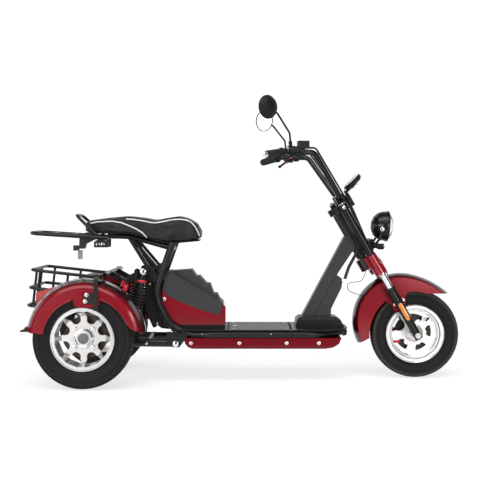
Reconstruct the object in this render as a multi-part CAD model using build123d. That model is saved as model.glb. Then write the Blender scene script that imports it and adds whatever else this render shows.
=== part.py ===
"""Electric cargo tricycle: step-through frame, front wheel in a telescopic fork,
driven rear axle on a sprung swing arm, wire basket and luggage rack behind the seat.

Frame: +X forward, +Y to the rider's left, +Z up, Z = 0 on the ground, millimetres.
"""

from build123d import *
from math import atan2, cos, degrees, radians, sin
import os

# ---------------------------------------------------------------- driving dimensions
wheelbase = 1515
front_tyre_diameter = 414
front_tyre_width = 96
rear_tyre_diameter = 444
rear_tyre_width = 136
front_rim_diameter = 276
rear_rim_diameter = 284
bead_seat_diameter = 256
track = 644
rack_overhang = 288            # rear axle to the back of the basket and rack

rake = 30                      # head angle from the vertical, degrees
fork_offset = 32               # leg line ahead of the steering axis
leg_spacing = 194
slider_diameter = 44
slider_foot_diameter = 38
slider_step = 184              # height of the slider's shoulder along the leg
stanchion_diameter = 32
cover_diameter = 40
head_tube_diameter = 50
stem_diameter = 30
running_gap = 0.05             # radial clearance of every turning fit
front_axle_diameter = 15
rear_axle_diameter = 24
yoke_low = 372                 # heights along the fork legs
yoke_high = 431
top_clamp_low = 671
top_clamp_high = 703

deck_top = 241
deck_sheet = 6
lid_setback = 637              # rear axle to the lid's rear edge
lid_front_setback = 592        # lid's front edge to the front axle
lid_half_width = 145
lid_thickness = 5
lid_side_gap = 5
lid_hinge_gap = 8
pan_depth = 51
pan_half_width = 163
sheet = 3                      # moulded and pressed panels

rail_diameter = 33
rail_upper_half_spacing = 122
rail_deck_half_spacing = 158
deck_half_width = rail_deck_half_spacing + 17
rail_bend = 160
rail_height = 218              # centre line along the deck
seat_rail_half_spacing = 90
seat_rail_diameter = 22
strut_diameter = 18

seat_half_width = 146
seat_nose_half_width = 108
fairing_half_width = 104
neck_half_width = 36

fender_crown = 265             # rear fender radius over the tyre
fender_shift = 10              # fender centre ahead of the axle
fender_start = 6.5             # angles round the fender centre, from +X upward
fender_end = 172
rear_fender_gap = 12           # tyre side to fender skirt
front_fender_half_width = 62
front_fender_gap = 20          # crown over the tyre, behind the fork
front_fender_flat_gap = 171    # the flatter crown ahead of it

basket_half_width = 185
basket_length = 301
basket_height = 163
basket_wire = 15
basket_slope = 6.3
rack_half_width = 130
rack_wire = 19

bar_diameter = 26
riser_half_spacing = 205
clamp_half_spacing = 55
grip_diameter = 34
bar_half_width = 335
mirror_diameter = 107
headlight_diameter = 146
display_diameter = 96

# ---------------------------------------------------------------- derived places
front_radius = front_tyre_diameter / 2
rear_radius = rear_tyre_diameter / 2
rear_axle_x = (rack_overhang - wheelbase - front_radius) / 2
front_axle_x = rear_axle_x + wheelbase
leg_y = leg_spacing / 2
wheel_y = track / 2
deck_under = deck_top - deck_sheet
pan_top = rail_height - rail_diameter / 2
pan_floor = pan_top - pan_depth
lid_front_x = front_axle_x - lid_front_setback
lid_rear_x = rear_axle_x + lid_setback
deck_rear_x = rear_axle_x + 374
nose_x = front_axle_x - 318
front_fender_radius = front_radius + front_fender_gap
front_fender_flat_radius = front_radius + front_fender_flat_gap

fork = Location((front_axle_x, 0, front_radius), (0, -rake, 0))
upward = Axis((0, 0, 0), (0, -1, 0))


def from_rear(x, y, z):
    """A point given by its distance ahead of the rear axle."""
    return (rear_axle_x + x, y, z)


def from_front(x, y, z):
    """A point given by its distance ahead of the front axle."""
    return (front_axle_x + x, y, z)


def steer(n, y, u):
    """A point n ahead of the fork leg line, u up along it, in the frame of the object."""
    a = radians(rake)
    return (front_axle_x + n * cos(a) - u * sin(a), y, front_radius + n * sin(a) + u * cos(a))


def from_axle(x, y, z):
    """A point ahead of the front axle and z over it, for all the fork carries."""
    return (front_axle_x + x, y, front_radius + z)


# ---------------------------------------------------------------- shared shapes
def tube(points, diameter, bends=None, bore=0):
    """A round bar along straight runs joined by tangent arcs; bore makes it a pipe."""
    path = FilletPolyline(*points, radius=bends) if bends else Polyline(*points)
    section = Plane(origin=path @ 0, z_dir=path % 0) * Circle(diameter / 2)
    bar = sweep(section, path)
    if bore:
        bar -= sweep(Plane(origin=path @ 0, z_dir=path % 0) * Circle(bore / 2), path)
    return bar


def flat_bar(points, width, thickness, bends, across):
    """A flat bar along straight runs joined by tangent arcs."""
    path = FilletPolyline(*points, radius=bends)
    section = Plane(origin=path @ 0, x_dir=across, z_dir=path % 0) * Rectangle(width, thickness)
    return sweep(section, path)


def rod(start, end, diameter):
    """A straight round bar between two points."""
    axis = Vector(*end) - Vector(*start)
    plane = Plane(origin=start, z_dir=axis)
    return extrude(plane * Circle(diameter / 2), amount=axis.length)


def plate(points, y_low, y_high):
    """A flat plate cut to an outline of (x, z) points, standing across Y."""
    outline = Polyline(*[(x, y_low, z) for x, z in points], close=True)
    return extrude(make_face(outline), amount=y_high - y_low, dir=(0, 1, 0))


def slab(points, z_low, z_high):
    """A flat plate cut to an outline of (x, y) points, lying level."""
    outline = Polyline(*[(x, y, z_low) for x, y in points], close=True)
    return extrude(make_face(outline), amount=z_high - z_low, dir=(0, 0, 1))


def rear_outline(*points):
    """Outline points measured from the rear axle."""
    return [(rear_axle_x + x, z) for x, z in points]


def axle_outline(*points):
    """Side-view points as (distance ahead of the front axle, height over it)."""
    return [(front_axle_x + x, front_radius + z) for x, z in points]


def front_outline(*points):
    """Outline points measured from the front axle."""
    return [(front_axle_x + x, z) for x, z in points]


def outline_face(points):
    """A flat face in the XY plane from its corners."""
    return make_face(Polyline(*points, close=True))


def turned(points):
    """A solid of revolution about Y from (radius, y) corners."""
    return revolve(outline_face(points), Axis.Y)


def turned_z(points):
    """A solid of revolution about Z from (radius, z) corners."""
    outline = Polyline(*[(r, 0, z) for r, z in points], close=True)
    return revolve(make_face(outline), Axis.Z)


def disc_y(x, z, diameter, y_low, y_high):
    """A cylinder across Y."""
    return rod((x, y_low, z), (x, y_high, z), diameter)


def box(x0, x1, y0, y1, z0, z1):
    """A block between two corners."""
    return Pos((x0 + x1) / 2, (y0 + y1) / 2, (z0 + z1) / 2) * Box(x1 - x0, y1 - y0, z1 - z0)


def mirrored(shape):
    """The same shape on the other side of the centre plane."""
    return mirror(shape, about=Plane.XZ)


def both(shape):
    """A shape and its mirror image."""
    return shape + mirrored(shape)


# ---------------------------------------------------------------- wheels
def tyre(diameter, width, shoulder_drop):
    """A tyre ring on its bead seat; its axis is Y."""
    r = diameter / 2
    w = width / 2
    seat = bead_seat_diameter / 2
    bead = 0.66 * w
    side = 0.5 * r + 0.5 * seat
    shoulder = r - shoulder_drop
    with BuildSketch(Plane.XY) as section:
        with BuildLine():
            Polyline((seat, bead), (seat, -bead))
            ThreePointArc((seat, -bead), (side - 6, -0.985 * w), (shoulder, -0.88 * w))
            ThreePointArc((shoulder, -0.88 * w), (r, 0), (shoulder, 0.88 * w))
            ThreePointArc((shoulder, 0.88 * w), (side - 6, 0.985 * w), (seat, bead))
        make_face()
    return revolve(section.sketch, Axis.Y)


def rim_barrel(flange_diameter, width):
    """The rim's barrel with its two flanges."""
    seat = bead_seat_diameter / 2
    flange = flange_diameter / 2
    w = width / 2
    lip = 6
    wall = 7
    return turned([
        (seat, -w + lip), (flange, -w + lip), (flange, -w), (seat - wall, -w),
        (seat - wall - 4, 0), (seat - wall, w), (flange, w), (flange, w - lip), (seat, w - lip),
    ])


def window(inner, outer, inner_width, outer_width):
    """A spoke window's cutter along +X, its inner end rounded."""
    a = inner_width / 2
    b = outer_width / 2
    c = 0.28 * b
    with BuildSketch(Plane.XZ) as sketch:
        with BuildLine():
            ThreePointArc((inner + a, -a), (inner, 0), (inner + a, a))
            Polyline((inner + a, a), (outer - c, b), (outer - 0.3 * c, b - 0.4 * c), (outer, b - 1.4 * c),
                     (outer, 1.4 * c - b), (outer - 0.3 * c, 0.4 * c - b), (outer - c, -b), (inner + a, -a))
        make_face()
    return extrude(sketch.sketch, amount=200, both=True)


def rear_rim():
    """Eight-spoke cast rim, its open face toward -Y."""
    width = rear_tyre_width - 22
    w = width / 2
    hub_face = -w + 46
    seat = bead_seat_diameter / 2
    thick = 12
    wheel = rim_barrel(rear_rim_diameter, width) + turned([
        (0, hub_face), (98, hub_face), (seat - 6, -w + 14), (seat - 6, -w + 28),
        (100, hub_face + thick), (38, hub_face + thick), (34, w - 22), (0, w - 22),
    ])
    cut = window(68, seat - 7, 42, 77)
    for i in range(8):
        wheel -= Rot(0, 22.5 + 45 * i, 0) * cut
    wheel += disc_y(0, 0, 86, hub_face - 9, hub_face) + disc_y(0, 0, 54, hub_face - 16, hub_face - 9)
    for i in range(4):
        wheel += Rot(0, 45 + 90 * i, 0) * disc_y(57, 0, 15, hub_face - 6, hub_face)
    return wheel - disc_y(0, 0, rear_axle_diameter + 2 * running_gap, hub_face + 4, w)


def front_rim():
    """Five-window cast rim, dished on its -Y side."""
    width = front_tyre_width - 20
    w = width / 2
    face = -w + 34
    seat = bead_seat_diameter / 2
    wheel = rim_barrel(front_rim_diameter, width) + turned([
        (0, face - 14), (26, face - 14), (44, face), (104, face), (seat - 6, face - 14),
        (seat - 6, face + 4), (104, face + 10), (34, face + 10), (28, w - 4), (0, w - 4),
    ])
    cut = window(52, 104, 56, 84)
    for i in range(5):
        wheel -= Rot(0, -8 + 72 * i, 0) * cut
    return wheel - disc_y(0, 0, front_axle_diameter + 2 * running_gap, -w, w)


def brake_disc(diameter, y_low, thickness, bore):
    """A brake disc with its cooling windows, on its hub."""
    disc = disc_y(0, 0, diameter, y_low, y_low + thickness)
    for i in range(6):
        disc -= Rot(0, 60 * i, 0) * disc_y(0.3 * diameter, 0, 0.16 * diameter, y_low - 1, y_low + thickness + 1)
    return disc - disc_y(0, 0, bore, y_low - 1, y_low + thickness + 1)


def rear_wheel(side):
    """Tyre, rim and disc of one rear wheel; side is -1 on the right, +1 on the left."""
    place = Pos(rear_axle_x, side * wheel_y, rear_radius)
    w = (rear_tyre_width - 22) / 2
    rim = rear_rim()
    ring = tyre(rear_tyre_diameter, rear_tyre_width, 6) - rim
    disc = brake_disc(190, w - 22, 4, rear_axle_diameter + 2 * running_gap)
    pieces = (ring, rim, disc)
    if side > 0:
        pieces = [mirrored(piece) for piece in pieces]
    return [place * piece for piece in pieces]


def front_wheel():
    """Tyre, rim and disc of the front wheel."""
    place = Pos(front_axle_x, 0, front_radius)
    w = (front_tyre_width - 20) / 2
    rim = front_rim()
    ring = tyre(front_tyre_diameter, front_tyre_width, 7) - rim
    disc = brake_disc(176, w - 4, 4, front_axle_diameter + 2 * running_gap)
    return [place * piece for piece in (ring, rim, disc)]


# ---------------------------------------------------------------- frame
def main_frame():
    """Twin bent rails from the seat down, forward along the deck and round its nose."""
    y = rail_upper_half_spacing
    d = rail_deck_half_spacing
    h = rail_height
    side = [
        from_rear(379, y, 640), from_rear(292, y, 395), from_rear(387, y + 6, h), from_rear(560, d, h),
        from_front(-455, d, h), from_front(-360, 60, h),
    ]
    rails = both(tube(side, rail_diameter, rail_bend))
    rails += rod(from_front(-360, -62, h), from_front(-360, 62, h), rail_diameter)
    for x, z in ((369, 610), (318, 466), (349, 262)):
        rails += rod(from_rear(x, -y, z), from_rear(x, y, z), 25)
    for x in (rear_axle_x + 486, rear_axle_x + 615, front_axle_x - 575, front_axle_x - 485):
        rails += box(x - 12, x + 12, -d, d, h - 12, h + 8)
    return rails


def seat_subframe():
    """Seat rails, their struts and the arms back to the fender cross tube."""
    y = seat_rail_half_spacing
    side = tube([from_rear(74, y, 669), from_rear(170, y, 665), from_rear(208, y, 657), from_rear(367, y, 612)],
                seat_rail_diameter, 40)
    side += rod(from_rear(175, y, 660), from_rear(293, y, 470), strut_diameter)
    side += rod(from_rear(187, y, 658), from_rear(307, y, 517), strut_diameter - 3)
    side += plate(rear_outline((283, 470), (298, 530), (328, 545), (322, 466)), y - 3, y + 3)
    arm = plate(
        rear_outline((322, 452), (322, 484), (300, 500), (267, 540), (243, 520), (153, 476), (96, 508), (78, 500),
                     (88, 482), (150, 448), (240, 470)),
        y + 36, y + 42,
    )
    side += arm
    frame = both(side)
    for x, z in ((180, 650), (300, 478)):
        frame += rod(from_rear(x, -y - 40, z), from_rear(x, y + 40, z), 16) if z < 500 else \
            rod(from_rear(x, -y, z), from_rear(x, y, z), 16)
    return frame


def neck():
    """Box-section neck with the head tube at its top."""
    outline = front_outline(
        (-333, 664), (-308, 676), (-268, 607), (-297, 591), (-368, 485), (-340, 464), (-347, 423),
        (-395, 326), (-397, 290), (-384, 262), (-366, deck_under), (-556, deck_under), (-552, 262), (-537, 284),
    )
    column = plate(outline, -neck_half_width, neck_half_width)
    n = -fork_offset
    column += rod(steer(n, 0, yoke_high + 3), steer(n, 0, top_clamp_low - 3), head_tube_diameter)
    bore = stem_diameter + 2 * running_gap
    column -= rod(steer(n, 0, yoke_high - 40), steer(n, 0, top_clamp_high), bore)
    return column


def lid_bay(margin, low, high):
    """The battery bay's opening, with a margin round the lid."""
    return box(lid_rear_x - margin, lid_front_x + margin + 3, -lid_half_width - margin, lid_half_width + margin, low, high)


def belly_pan():
    """Open-topped pan that carries the battery under the deck."""
    rear_x = rear_axle_x + 430
    front_x = front_axle_x - 359
    outline = [
        (rear_x, pan_top), (rear_x + 8, pan_floor + 26), (rear_x + 22, pan_floor + 8), (rear_x + 40, pan_floor),
        (front_x - 75, pan_floor), (front_x - 40, pan_floor + 6), (front_x - 12, pan_floor + 24), (front_x, pan_top),
    ]
    w = pan_half_width
    section = Polyline(*[(rear_x, y, z) for y, z in (
        (-w, pan_top), (-w, pan_floor + 16), (-w + 16, pan_floor), (w - 16, pan_floor), (w, pan_floor + 16), (w, pan_top))],
        close=True)
    solid = plate(outline, -w, w) & extrude(make_face(section), amount=front_x - rear_x, dir=(1, 0, 0))
    cavity = box(rear_x + 32, front_x - 60, -w + 16, w - 16, pan_floor + sheet, pan_top + 1)
    return solid - cavity


def battery_pack():
    """Battery block standing on the pan's floor."""
    return box(lid_rear_x + 20, lid_front_x - 20, -125, 125, pan_floor + sheet, deck_under - 12)


def footboard():
    """Moulded footboard round the battery lid, with the plinth of the fairing."""
    front_x = lid_front_x + lid_hinge_gap
    board = box(deck_rear_x, front_x, -deck_half_width, deck_half_width, deck_under, deck_top)
    board -= box(lid_rear_x - lid_side_gap, front_x + 1, -lid_half_width - lid_side_gap, lid_half_width + lid_side_gap,
                 deck_under - 1, deck_top + 1)
    plinth = box(deck_rear_x + 20, lid_rear_x - 16, -fairing_half_width, fairing_half_width, deck_top, deck_top + 16)
    return board + plinth


def nose_cover():
    """Moulded nose round the foot of the neck."""
    rear_x = lid_front_x + lid_hinge_gap
    d = deck_half_width
    plan = [(rear_x, -d), (nose_x - 86, -d), (nose_x - 30, -d + 42), (nose_x - 4, -60)]
    plan += [(x, -y) for x, y in reversed(plan)]
    flat = slab(plan, deck_under, deck_top)
    nose = plate(front_outline((-440, deck_under), (-440, deck_top), (-355, deck_top + 31), (-322, deck_top - 17),
                               (-326, rail_height - 15), (-343, rail_height - 18),
                               (-343, rail_height + 17), (-374, rail_height + 17)), -58, 58)
    pod = plate(front_outline((-565, deck_top - 1), (-560, deck_top + 35), (-545, deck_top + 49), (-376, deck_top + 49),
                              (-355, deck_top + 36), (-340, deck_top + 9),
                              (-340, deck_top - 1)), -75, 75)
    pod = chamfer(pod.edges().filter_by(Axis.X).group_by(Axis.Z)[-1], 14)
    return flat + nose + pod


def fairing():
    """Side fairing under the seat."""
    outline = rear_outline(
        (327, 418), (345, 398), (406, 365), (501, 328), (593, 302), (603, 322), (613, 352), (623, 340),
        (623, deck_top + 24), (615, deck_top + 16), (385, deck_top + 16), (362, 300), (330, 360),
    )
    return plate(outline, -fairing_half_width, fairing_half_width)


def fairing_cover():
    """Saddle cover over the fairing, with a stepped crest."""
    side = rear_outline((345, 500), (365, 506), (600, 366), (612, 353), (603, 322), (593, 302), (501, 328), (406, 365),
                        (345, 398), (328, 418))
    crest = rear_outline((354, 503), (464, 511), (485, 480), (500, 482), (533, 445), (549, 445), (567, 397), (583, 397),
                         (606, 350), (592, 320), (400, 400))
    w = fairing_half_width
    cover = plate(side, -w, w)
    cover = chamfer(cover.edges().filter_by(GeomType.LINE).filter_by_position(Axis.Z, 360, 510).filter_by(
        lambda e: abs((e % 0.5).Y) < 0.1 and e.length > 200), 16)
    crown = plate(crest, -58, 58)
    return cover + crown


def rear_shell():
    """Splash box behind the rails that closes the back of the fairing."""
    outline = rear_outline((264, 489), (243, 373), (264, 292), (286, 243), (300, 246), (294, 264), (326, 240), (370, 236),
                           (338, 272), (314, 310), (297, 350), (288, 390), (290, 430), (296, 478), (318, 478), (316, 489))
    return plate(outline, -102, 102)


def swing_arm():
    """Swing arm from the pivot under the deck to the rear axle."""
    y = 140
    side = tube([from_rear(395, y, 176), from_rear(185, y, 179), from_rear(0, y, rear_radius)], 36, 90)
    side += disc_y(rear_axle_x, rear_radius, 76, y - 14, y + 14)
    side += plate(rear_outline((205, 196), (225, 196), (222, 262), (176, 268), (170, 250), (188, 232)), y - 4, y + 4)
    arm = both(side)
    arm += rod(from_rear(395, -y - 19, 176), from_rear(395, y + 19, 176), 34)
    arm += rod(from_rear(262, -y, 180), from_rear(262, y, 180), 28)
    return arm


def pivot_plates():
    """Plates under the rails that hold the swing arm."""
    outline = rear_outline((356, 232), (450, 222), (446, 205), (412, 160), (384, 160), (352, 205))
    y = rail_deck_half_spacing + 2
    side = plate(outline, y, y + 6) + disc_y(rear_axle_x + 395, 176, 20, y + 6, y + 16)
    return both(side)


def rear_axle():
    """Axle housing with flanged ends and the stub axles."""
    ends = wheel_y - rear_tyre_width / 2 - 4
    axle = disc_y(rear_axle_x, rear_radius, 56, -ends, ends)
    axle += disc_y(rear_axle_x, rear_radius, rear_axle_diameter, -wheel_y + 8, wheel_y - 8)
    return axle


def drive_motor():
    """Motor and differential block at the middle of the axle."""
    profile = [(28, -64), (70, -64), (88, -40), (88, 30), (76, 64), (28, 64)]
    return Pos(rear_axle_x, 0, rear_radius) * turned(profile)


def shock(x_shift, y):
    """One coil-over damper without its spring."""
    top = (248 + x_shift, 508)
    low = (215 + x_shift, 250)

    def along(t):
        return from_rear(top[0] + (low[0] - top[0]) * t, y, top[1] + (low[1] - top[1]) * t)

    body = rod(along(0.02), along(0.5), 26) + rod(along(0.5), along(0.98), 14)
    body += rod(along(0.12), along(0.18), 44) + rod(along(0.86), along(0.9), 44)
    body += disc_y(rear_axle_x + top[0], top[1], 26, y - 10, y + 10)
    body += disc_y(rear_axle_x + low[0], low[1], 26, y - 10, y + 10)
    return body, rod(along(0.86), along(0.18), 42) - rod(along(0.9), along(0.14), 26.6)


def shocks():
    """Dampers of the four coil-over shocks with their pins and reservoirs."""
    side = shock(0, 190)[0] + shock(-30, 160)[0]
    side += disc_y(rear_axle_x + 248, 508, 12, 126, 204)
    side += disc_y(rear_axle_x + 218, 508, 12, 132, 180)
    side += disc_y(rear_axle_x + 215, 250, 12, 144, 204)
    side += disc_y(rear_axle_x + 185, 250, 12, 144, 174)
    side += rod(from_rear(166, 190, 422), from_rear(176, 190, 468), 18)
    side += rod(from_rear(151, 160, 438), from_rear(158, 160, 470), 18)
    side += box(rear_axle_x + 168, rear_axle_x + 232, 184, 196, 463, 475)
    side += box(rear_axle_x + 140, rear_axle_x + 202, 154, 166, 463, 475)
    return both(side)


def springs():
    """Coil springs, drawn as their outer sleeves."""
    return both(shock(0, 190)[1] + shock(-30, 160)[1])


def rear_fender():
    """Right-hand rear fender: a crowned shell with an outer skirt."""
    outer_y = -(wheel_y + rear_tyre_width / 2 + rear_fender_gap + sheet)
    inner_y = -(wheel_y - rear_tyre_width / 2 - 19)
    crown = fender_crown
    t = sheet
    section = outline_face([
        (crown - 84, outer_y), (crown - 39, outer_y), (crown - 27, outer_y + 6), (crown - 15, outer_y + 22),
        (crown - 4, outer_y + 52), (crown, -wheel_y + 2), (crown - 3, inner_y - 40), (crown - 16, inner_y - 6),
        (crown - 24, inner_y), (crown - 48, inner_y), (crown - 48, inner_y - t), (crown - 24, inner_y - t),
        (crown - 18, inner_y - 8), (crown - 3 - t, inner_y - 41), (crown - t, -wheel_y + 2), (crown - 4 - t, outer_y + 51),
        (crown - 17, outer_y + 24), (crown - 29, outer_y + 9), (crown - 39, outer_y + t), (crown - 84, outer_y + t),
    ])
    shell = Rot(0, -fender_start, 0) * revolve(section, upward, revolution_arc=fender_end - fender_start)
    shell -= disc_y(12, -7, 382, outer_y - 1, outer_y + t + 1)
    shell -= plate([(150, 66), (192, 66), (202, 51), (238, 37), (279, 28), (300, -20), (150, -20)], outer_y - 1, outer_y + 20)
    shell += plate([(-45, 190), (-45, 160), (-32, 142), (58, 142), (70, 155), (70, 190)], outer_y, outer_y + t)
    end = radians(fender_end)
    lip = [(crown - 18, 0), (crown + 17, 0.02), (crown + 17, -0.005), (crown + 2, -0.035), (crown - 2, -0.075), (crown - 18, -0.06)]
    shell += plate([(r * cos(end + a), r * sin(end + a)) for r, a in lip], outer_y + 16, inner_y - 12)
    return Pos(rear_axle_x + fender_shift, 0, rear_radius) * shell


def fender_stays():
    """Cross tube behind the seat with the stays that hold the rear fenders."""
    out = wheel_y + rear_tyre_width / 2 + rear_fender_gap + sheet + 4
    top = rear_radius + fender_crown + 14
    stay = flat_bar([from_rear(64, out, 350), from_rear(64, out, top), from_rear(82, 298, top + 2)], 19, 8, 24, (1, 0, 0))
    stay += box(rear_axle_x + 9, rear_axle_x + 56, out - 4, out, 380, 427)
    frame = both(stay)
    cross = rod(from_rear(87, -300, 500), from_rear(87, 300, 500), 22)
    return frame + cross


def fender_envelope():
    """The space the rear fender's crown fills, used to seat what stands on it."""
    outer_y = -(wheel_y + rear_tyre_width / 2 + rear_fender_gap + sheet)
    inner_y = -(wheel_y - rear_tyre_width / 2 - 19)
    crown = fender_crown
    return Pos(rear_axle_x + fender_shift, 0, rear_radius) * turned([
        (0, outer_y), (crown - 39, outer_y), (crown - 27, outer_y + 6), (crown - 15, outer_y + 22), (crown - 4, outer_y + 52),
        (crown, -wheel_y + 2), (crown - 3, inner_y - 40), (crown - 16, inner_y - 6), (crown - 24, inner_y), (0, inner_y),
    ])


def tail_lamps():
    """Tail lamps on the rear fenders."""
    y = wheel_y - 46
    lamp = plate(rear_outline((-216, 372), (-216, 418), (-208, 425), (-128, 450), (-118, 446), (-140, 400)), -y - 34, -y + 26)
    return both(lamp - fender_envelope())


def basket_frame():
    """Where the basket's own level floor lies: its rear lower corner, sloping down ahead."""
    return Location((rear_axle_x - rack_overhang + basket_wire / 2 + 1, 0, 354), (0, basket_slope, 0))


def basket_rail(rise):
    """One closed rail of the basket at a height over its floor."""
    outline = Pos(basket_length / 2, 0, rise) * RectangleRounded(basket_length, 2 * basket_half_width, 28)
    wire = outline.faces()[0].outer_wire()
    return sweep(Plane(origin=wire @ 0, z_dir=wire % 0) * Circle(basket_wire / 2), wire)


def cargo_basket():
    """Wire basket: three rounded rails on posts over a barred floor."""
    w = basket_half_width
    length = basket_length
    basket = basket_rail(0) + basket_rail(basket_height / 2) + basket_rail(basket_height)
    for x in (40, 168, length - 31):
        for y in (-w, w):
            basket += rod((x, y, 2), (x, y, basket_height - 2), 12)
    for y in (-60, 60):
        basket += rod((0, y, 2), (0, y, basket_height - 2), 12)
        basket += rod((length, y, 2), (length, y, basket_height - 2), 12)
    for y in (-120, -72, -24, 24, 72, 120):
        basket += rod((2, y, 0.6), (length - 2, y, 0.6), 8)
    for x in (75, 142, 218):
        basket += rod((x, 2 - w, -0.6), (x, w - 2, -0.6), 8)
    return basket_frame() * basket


def basket_brackets():
    """Struts that carry the basket from the cross tube and the axle housing."""
    side = rod(from_rear(87, 120, 500), from_rear(26, 120, 484), 12)
    side += flat_bar([from_rear(-28, 90, 232), from_rear(-60, 90, 250), from_rear(-150, 90, 336)], 20, 6, 20, (0, 1, 0))
    return both(side)


def top_rack():
    """Luggage rack behind the seat with its lock plate."""
    w = rack_half_width
    back = -rack_overhang + rack_wire / 2
    rack = tube([from_rear(80, -w, 660), from_rear(back, -w, 683), from_rear(back, w, 683), from_rear(80, w, 660)],
                rack_wire, 48)
    for x in (-190, -100, -14, 72):
        z = 660 + (80 - x) * 23 / (80 - back)
        rack += rod(from_rear(x, -w, z), from_rear(x, w, z), 14)
    rack += plate(rear_outline((3, 614), (72, 614), (72, 661), (34, 663), (3, 640)), 44, 50)
    rack += plate(rear_outline((3, 614), (72, 614), (72, 661), (34, 663), (3, 640)), -50, -44)
    for x in (21, 44):
        rack -= disc_y(rear_axle_x + x, 629, 18, -60, 60)
    return rack


def grab_hoop():
    """Backrest hoop between the seat and the rack."""
    low = rack_half_width - 3
    high = 84
    return tube([from_rear(28, -low, 672), from_rear(-73, -high, 765), from_rear(-73, high, 765), from_rear(28, low, 672)], 15, 34)


def seat_lock():
    """Lock bracket and its tag under the rack."""
    bracket = plate(rear_outline((-100, 598), (-76, 598), (-72, 607), (-44, 607), (-38, 630), (2, 650), (2, 661), (-70, 664),
                           (-72, 623), (-100, 623)), -16, 16)
    tag = box(rear_axle_x - 80, rear_axle_x - 57, -3, 3, 557, 600)
    tag += box(rear_axle_x - 80, rear_axle_x - 76, -3, 3, 599, 603)
    return bracket + tag


def seat_pan():
    """Seat base on the seat rails."""
    outline = rear_outline((-30, 677), (30, 680), (172, 679), (212, 670), (300, 646), (362, 632), (500, 645), (503, 650),
                           (362, 639), (262, 660), (180, 684), (85, 687), (-30, 685))
    return plate(outline, -100, 100)


def seat():
    """Seat cushion: broad at the back, narrow at the nose."""
    outline = rear_outline(
        (-43, 686), (-43, 727), (-33, 735), (-10, 740), (80, 752), (167, 759), (235, 752), (297, 741), (350, 751),
        (409, 759), (460, 747), (498, 726), (519, 670), (516, 660), (500, 652), (362, 641), (262, 662), (180, 686), (85, 689),
    )
    w = seat_half_width
    n = seat_nose_half_width
    rear = rear_axle_x
    plan = [(rear - 43, -w + 96), (rear - 33, -w + 72), (rear - 10, -w + 52), (rear + 20, -w + 34), (rear + 60, -w + 16),
            (rear + 120, -w + 2), (rear + 150, -w), (rear + 230, -w), (rear + 340, -n - 10), (rear + 470, -n),
            (rear + 505, -n + 22), (rear + 519, -n + 48)]
    plan += [(x, -y) for x, y in reversed(plan)]
    return plate(outline, -w, w) & slab(plan, 600, 800)


# ---------------------------------------------------------------- deck lid
def deck_lid():
    """Battery lid, hinged at its front edge."""
    lid = box(lid_rear_x, lid_front_x, -lid_half_width, lid_half_width, deck_top - lid_thickness, deck_top)
    return fillet(lid.edges().filter_by(Axis.Z).group_by(Axis.X)[0], 14)


# ---------------------------------------------------------------- steering
def leg_rod(low, high, diameter, y=leg_y, n=0):
    """A round length of the fork along its legs."""
    return rod(steer(n, y, low), steer(n, y, high), diameter)


def slider_leg():
    """The left slider's outside: a slim foot under a shouldered top."""
    return leg_rod(-18, slider_step, slider_foot_diameter) + leg_rod(slider_step - 2, 250, slider_diameter)


def fork_sliders():
    """Lower fork legs with their axle lugs."""
    leg = slider_leg() - leg_rod(190, 260, stanchion_diameter)
    leg -= disc_y(front_axle_x, front_radius, front_axle_diameter, 0, 200)
    return both(leg)


def fork_stanchions():
    """Inner fork tubes."""
    return both(leg_rod(190, top_clamp_high + 4, stanchion_diameter))


def fork_covers():
    """Cover tubes between the clamps."""
    return both(leg_rod(yoke_high, top_clamp_low, cover_diameter) - leg_rod(yoke_high, top_clamp_low, stanchion_diameter))


def clamp_yoke(low, high, leg_radius, stem_radius):
    """A fork yoke: two leg eyes and a stem boss joined by a web."""
    with BuildSketch(Plane.XY.offset(low)) as sketch:
        with Locations((0, leg_y), (0, -leg_y)):
            Circle(leg_radius)
        with Locations((-fork_offset, 0)):
            Circle(stem_radius)
        with Locations((-fork_offset / 2, 0)):
            Rectangle(2 * leg_radius - 8, 2 * leg_y)
        with Locations((0, leg_y), (0, -leg_y)):
            Circle(stanchion_diameter / 2, mode=Mode.SUBTRACT)
    return extrude(sketch.sketch, amount=high - low)


def lower_clamp():
    """Lower yoke with its leg collars and the steering stem."""
    yoke = fork * clamp_yoke(yoke_low, yoke_high, 24, 38)
    collar = leg_rod(327, yoke_low, 60) - leg_rod(327, yoke_low, stanchion_diameter)
    yoke += both(collar)
    return yoke + leg_rod(yoke_high, top_clamp_low, stem_diameter, 0, -fork_offset)


def top_clamp():
    """Upper yoke with the stem nut."""
    yoke = fork * clamp_yoke(top_clamp_low, top_clamp_high, 26, 36)
    return yoke + leg_rod(top_clamp_high, top_clamp_high + 16, 28, 0, -fork_offset)


def bar_points():
    """Corners of the left half of the handlebar, from its middle out."""
    return [
        from_axle(-352, 0, 633), from_axle(-352, clamp_half_spacing + 22, 633), from_axle(-489, riser_half_spacing, 844),
        from_axle(-624, riser_half_spacing + 22, 846), from_axle(-709, bar_half_width, 827),
    ]


def handlebar():
    """High-rise handlebar and its two clamps."""
    bar = both(tube(bar_points(), bar_diameter, 34))
    foot = Vector(*steer(11, clamp_half_spacing, 704))
    clamp = fork * box(-12, 30, clamp_half_spacing - 15, clamp_half_spacing + 15, top_clamp_high, top_clamp_high + 42)
    return bar + both(clamp)


def bar_piece(start, end, diameter):
    """A sleeve on the outer run of the bar, by distance from its end."""
    inner = Vector(*bar_points()[3])
    outer = Vector(*bar_points()[4])
    along = (inner - outer).normalized()
    a = outer + along * start
    b = outer + along * end
    return rod(tuple(a), tuple(b), diameter) - rod(tuple(a), tuple(b), bar_diameter) if start >= 0 \
        else rod(tuple(a), tuple(b), diameter)


def grips():
    """Rubber grips."""
    return both(bar_piece(0, 120, grip_diameter))


def bar_ends():
    """End caps of the grips."""
    return both(bar_piece(-9, 0, 27))


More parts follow.
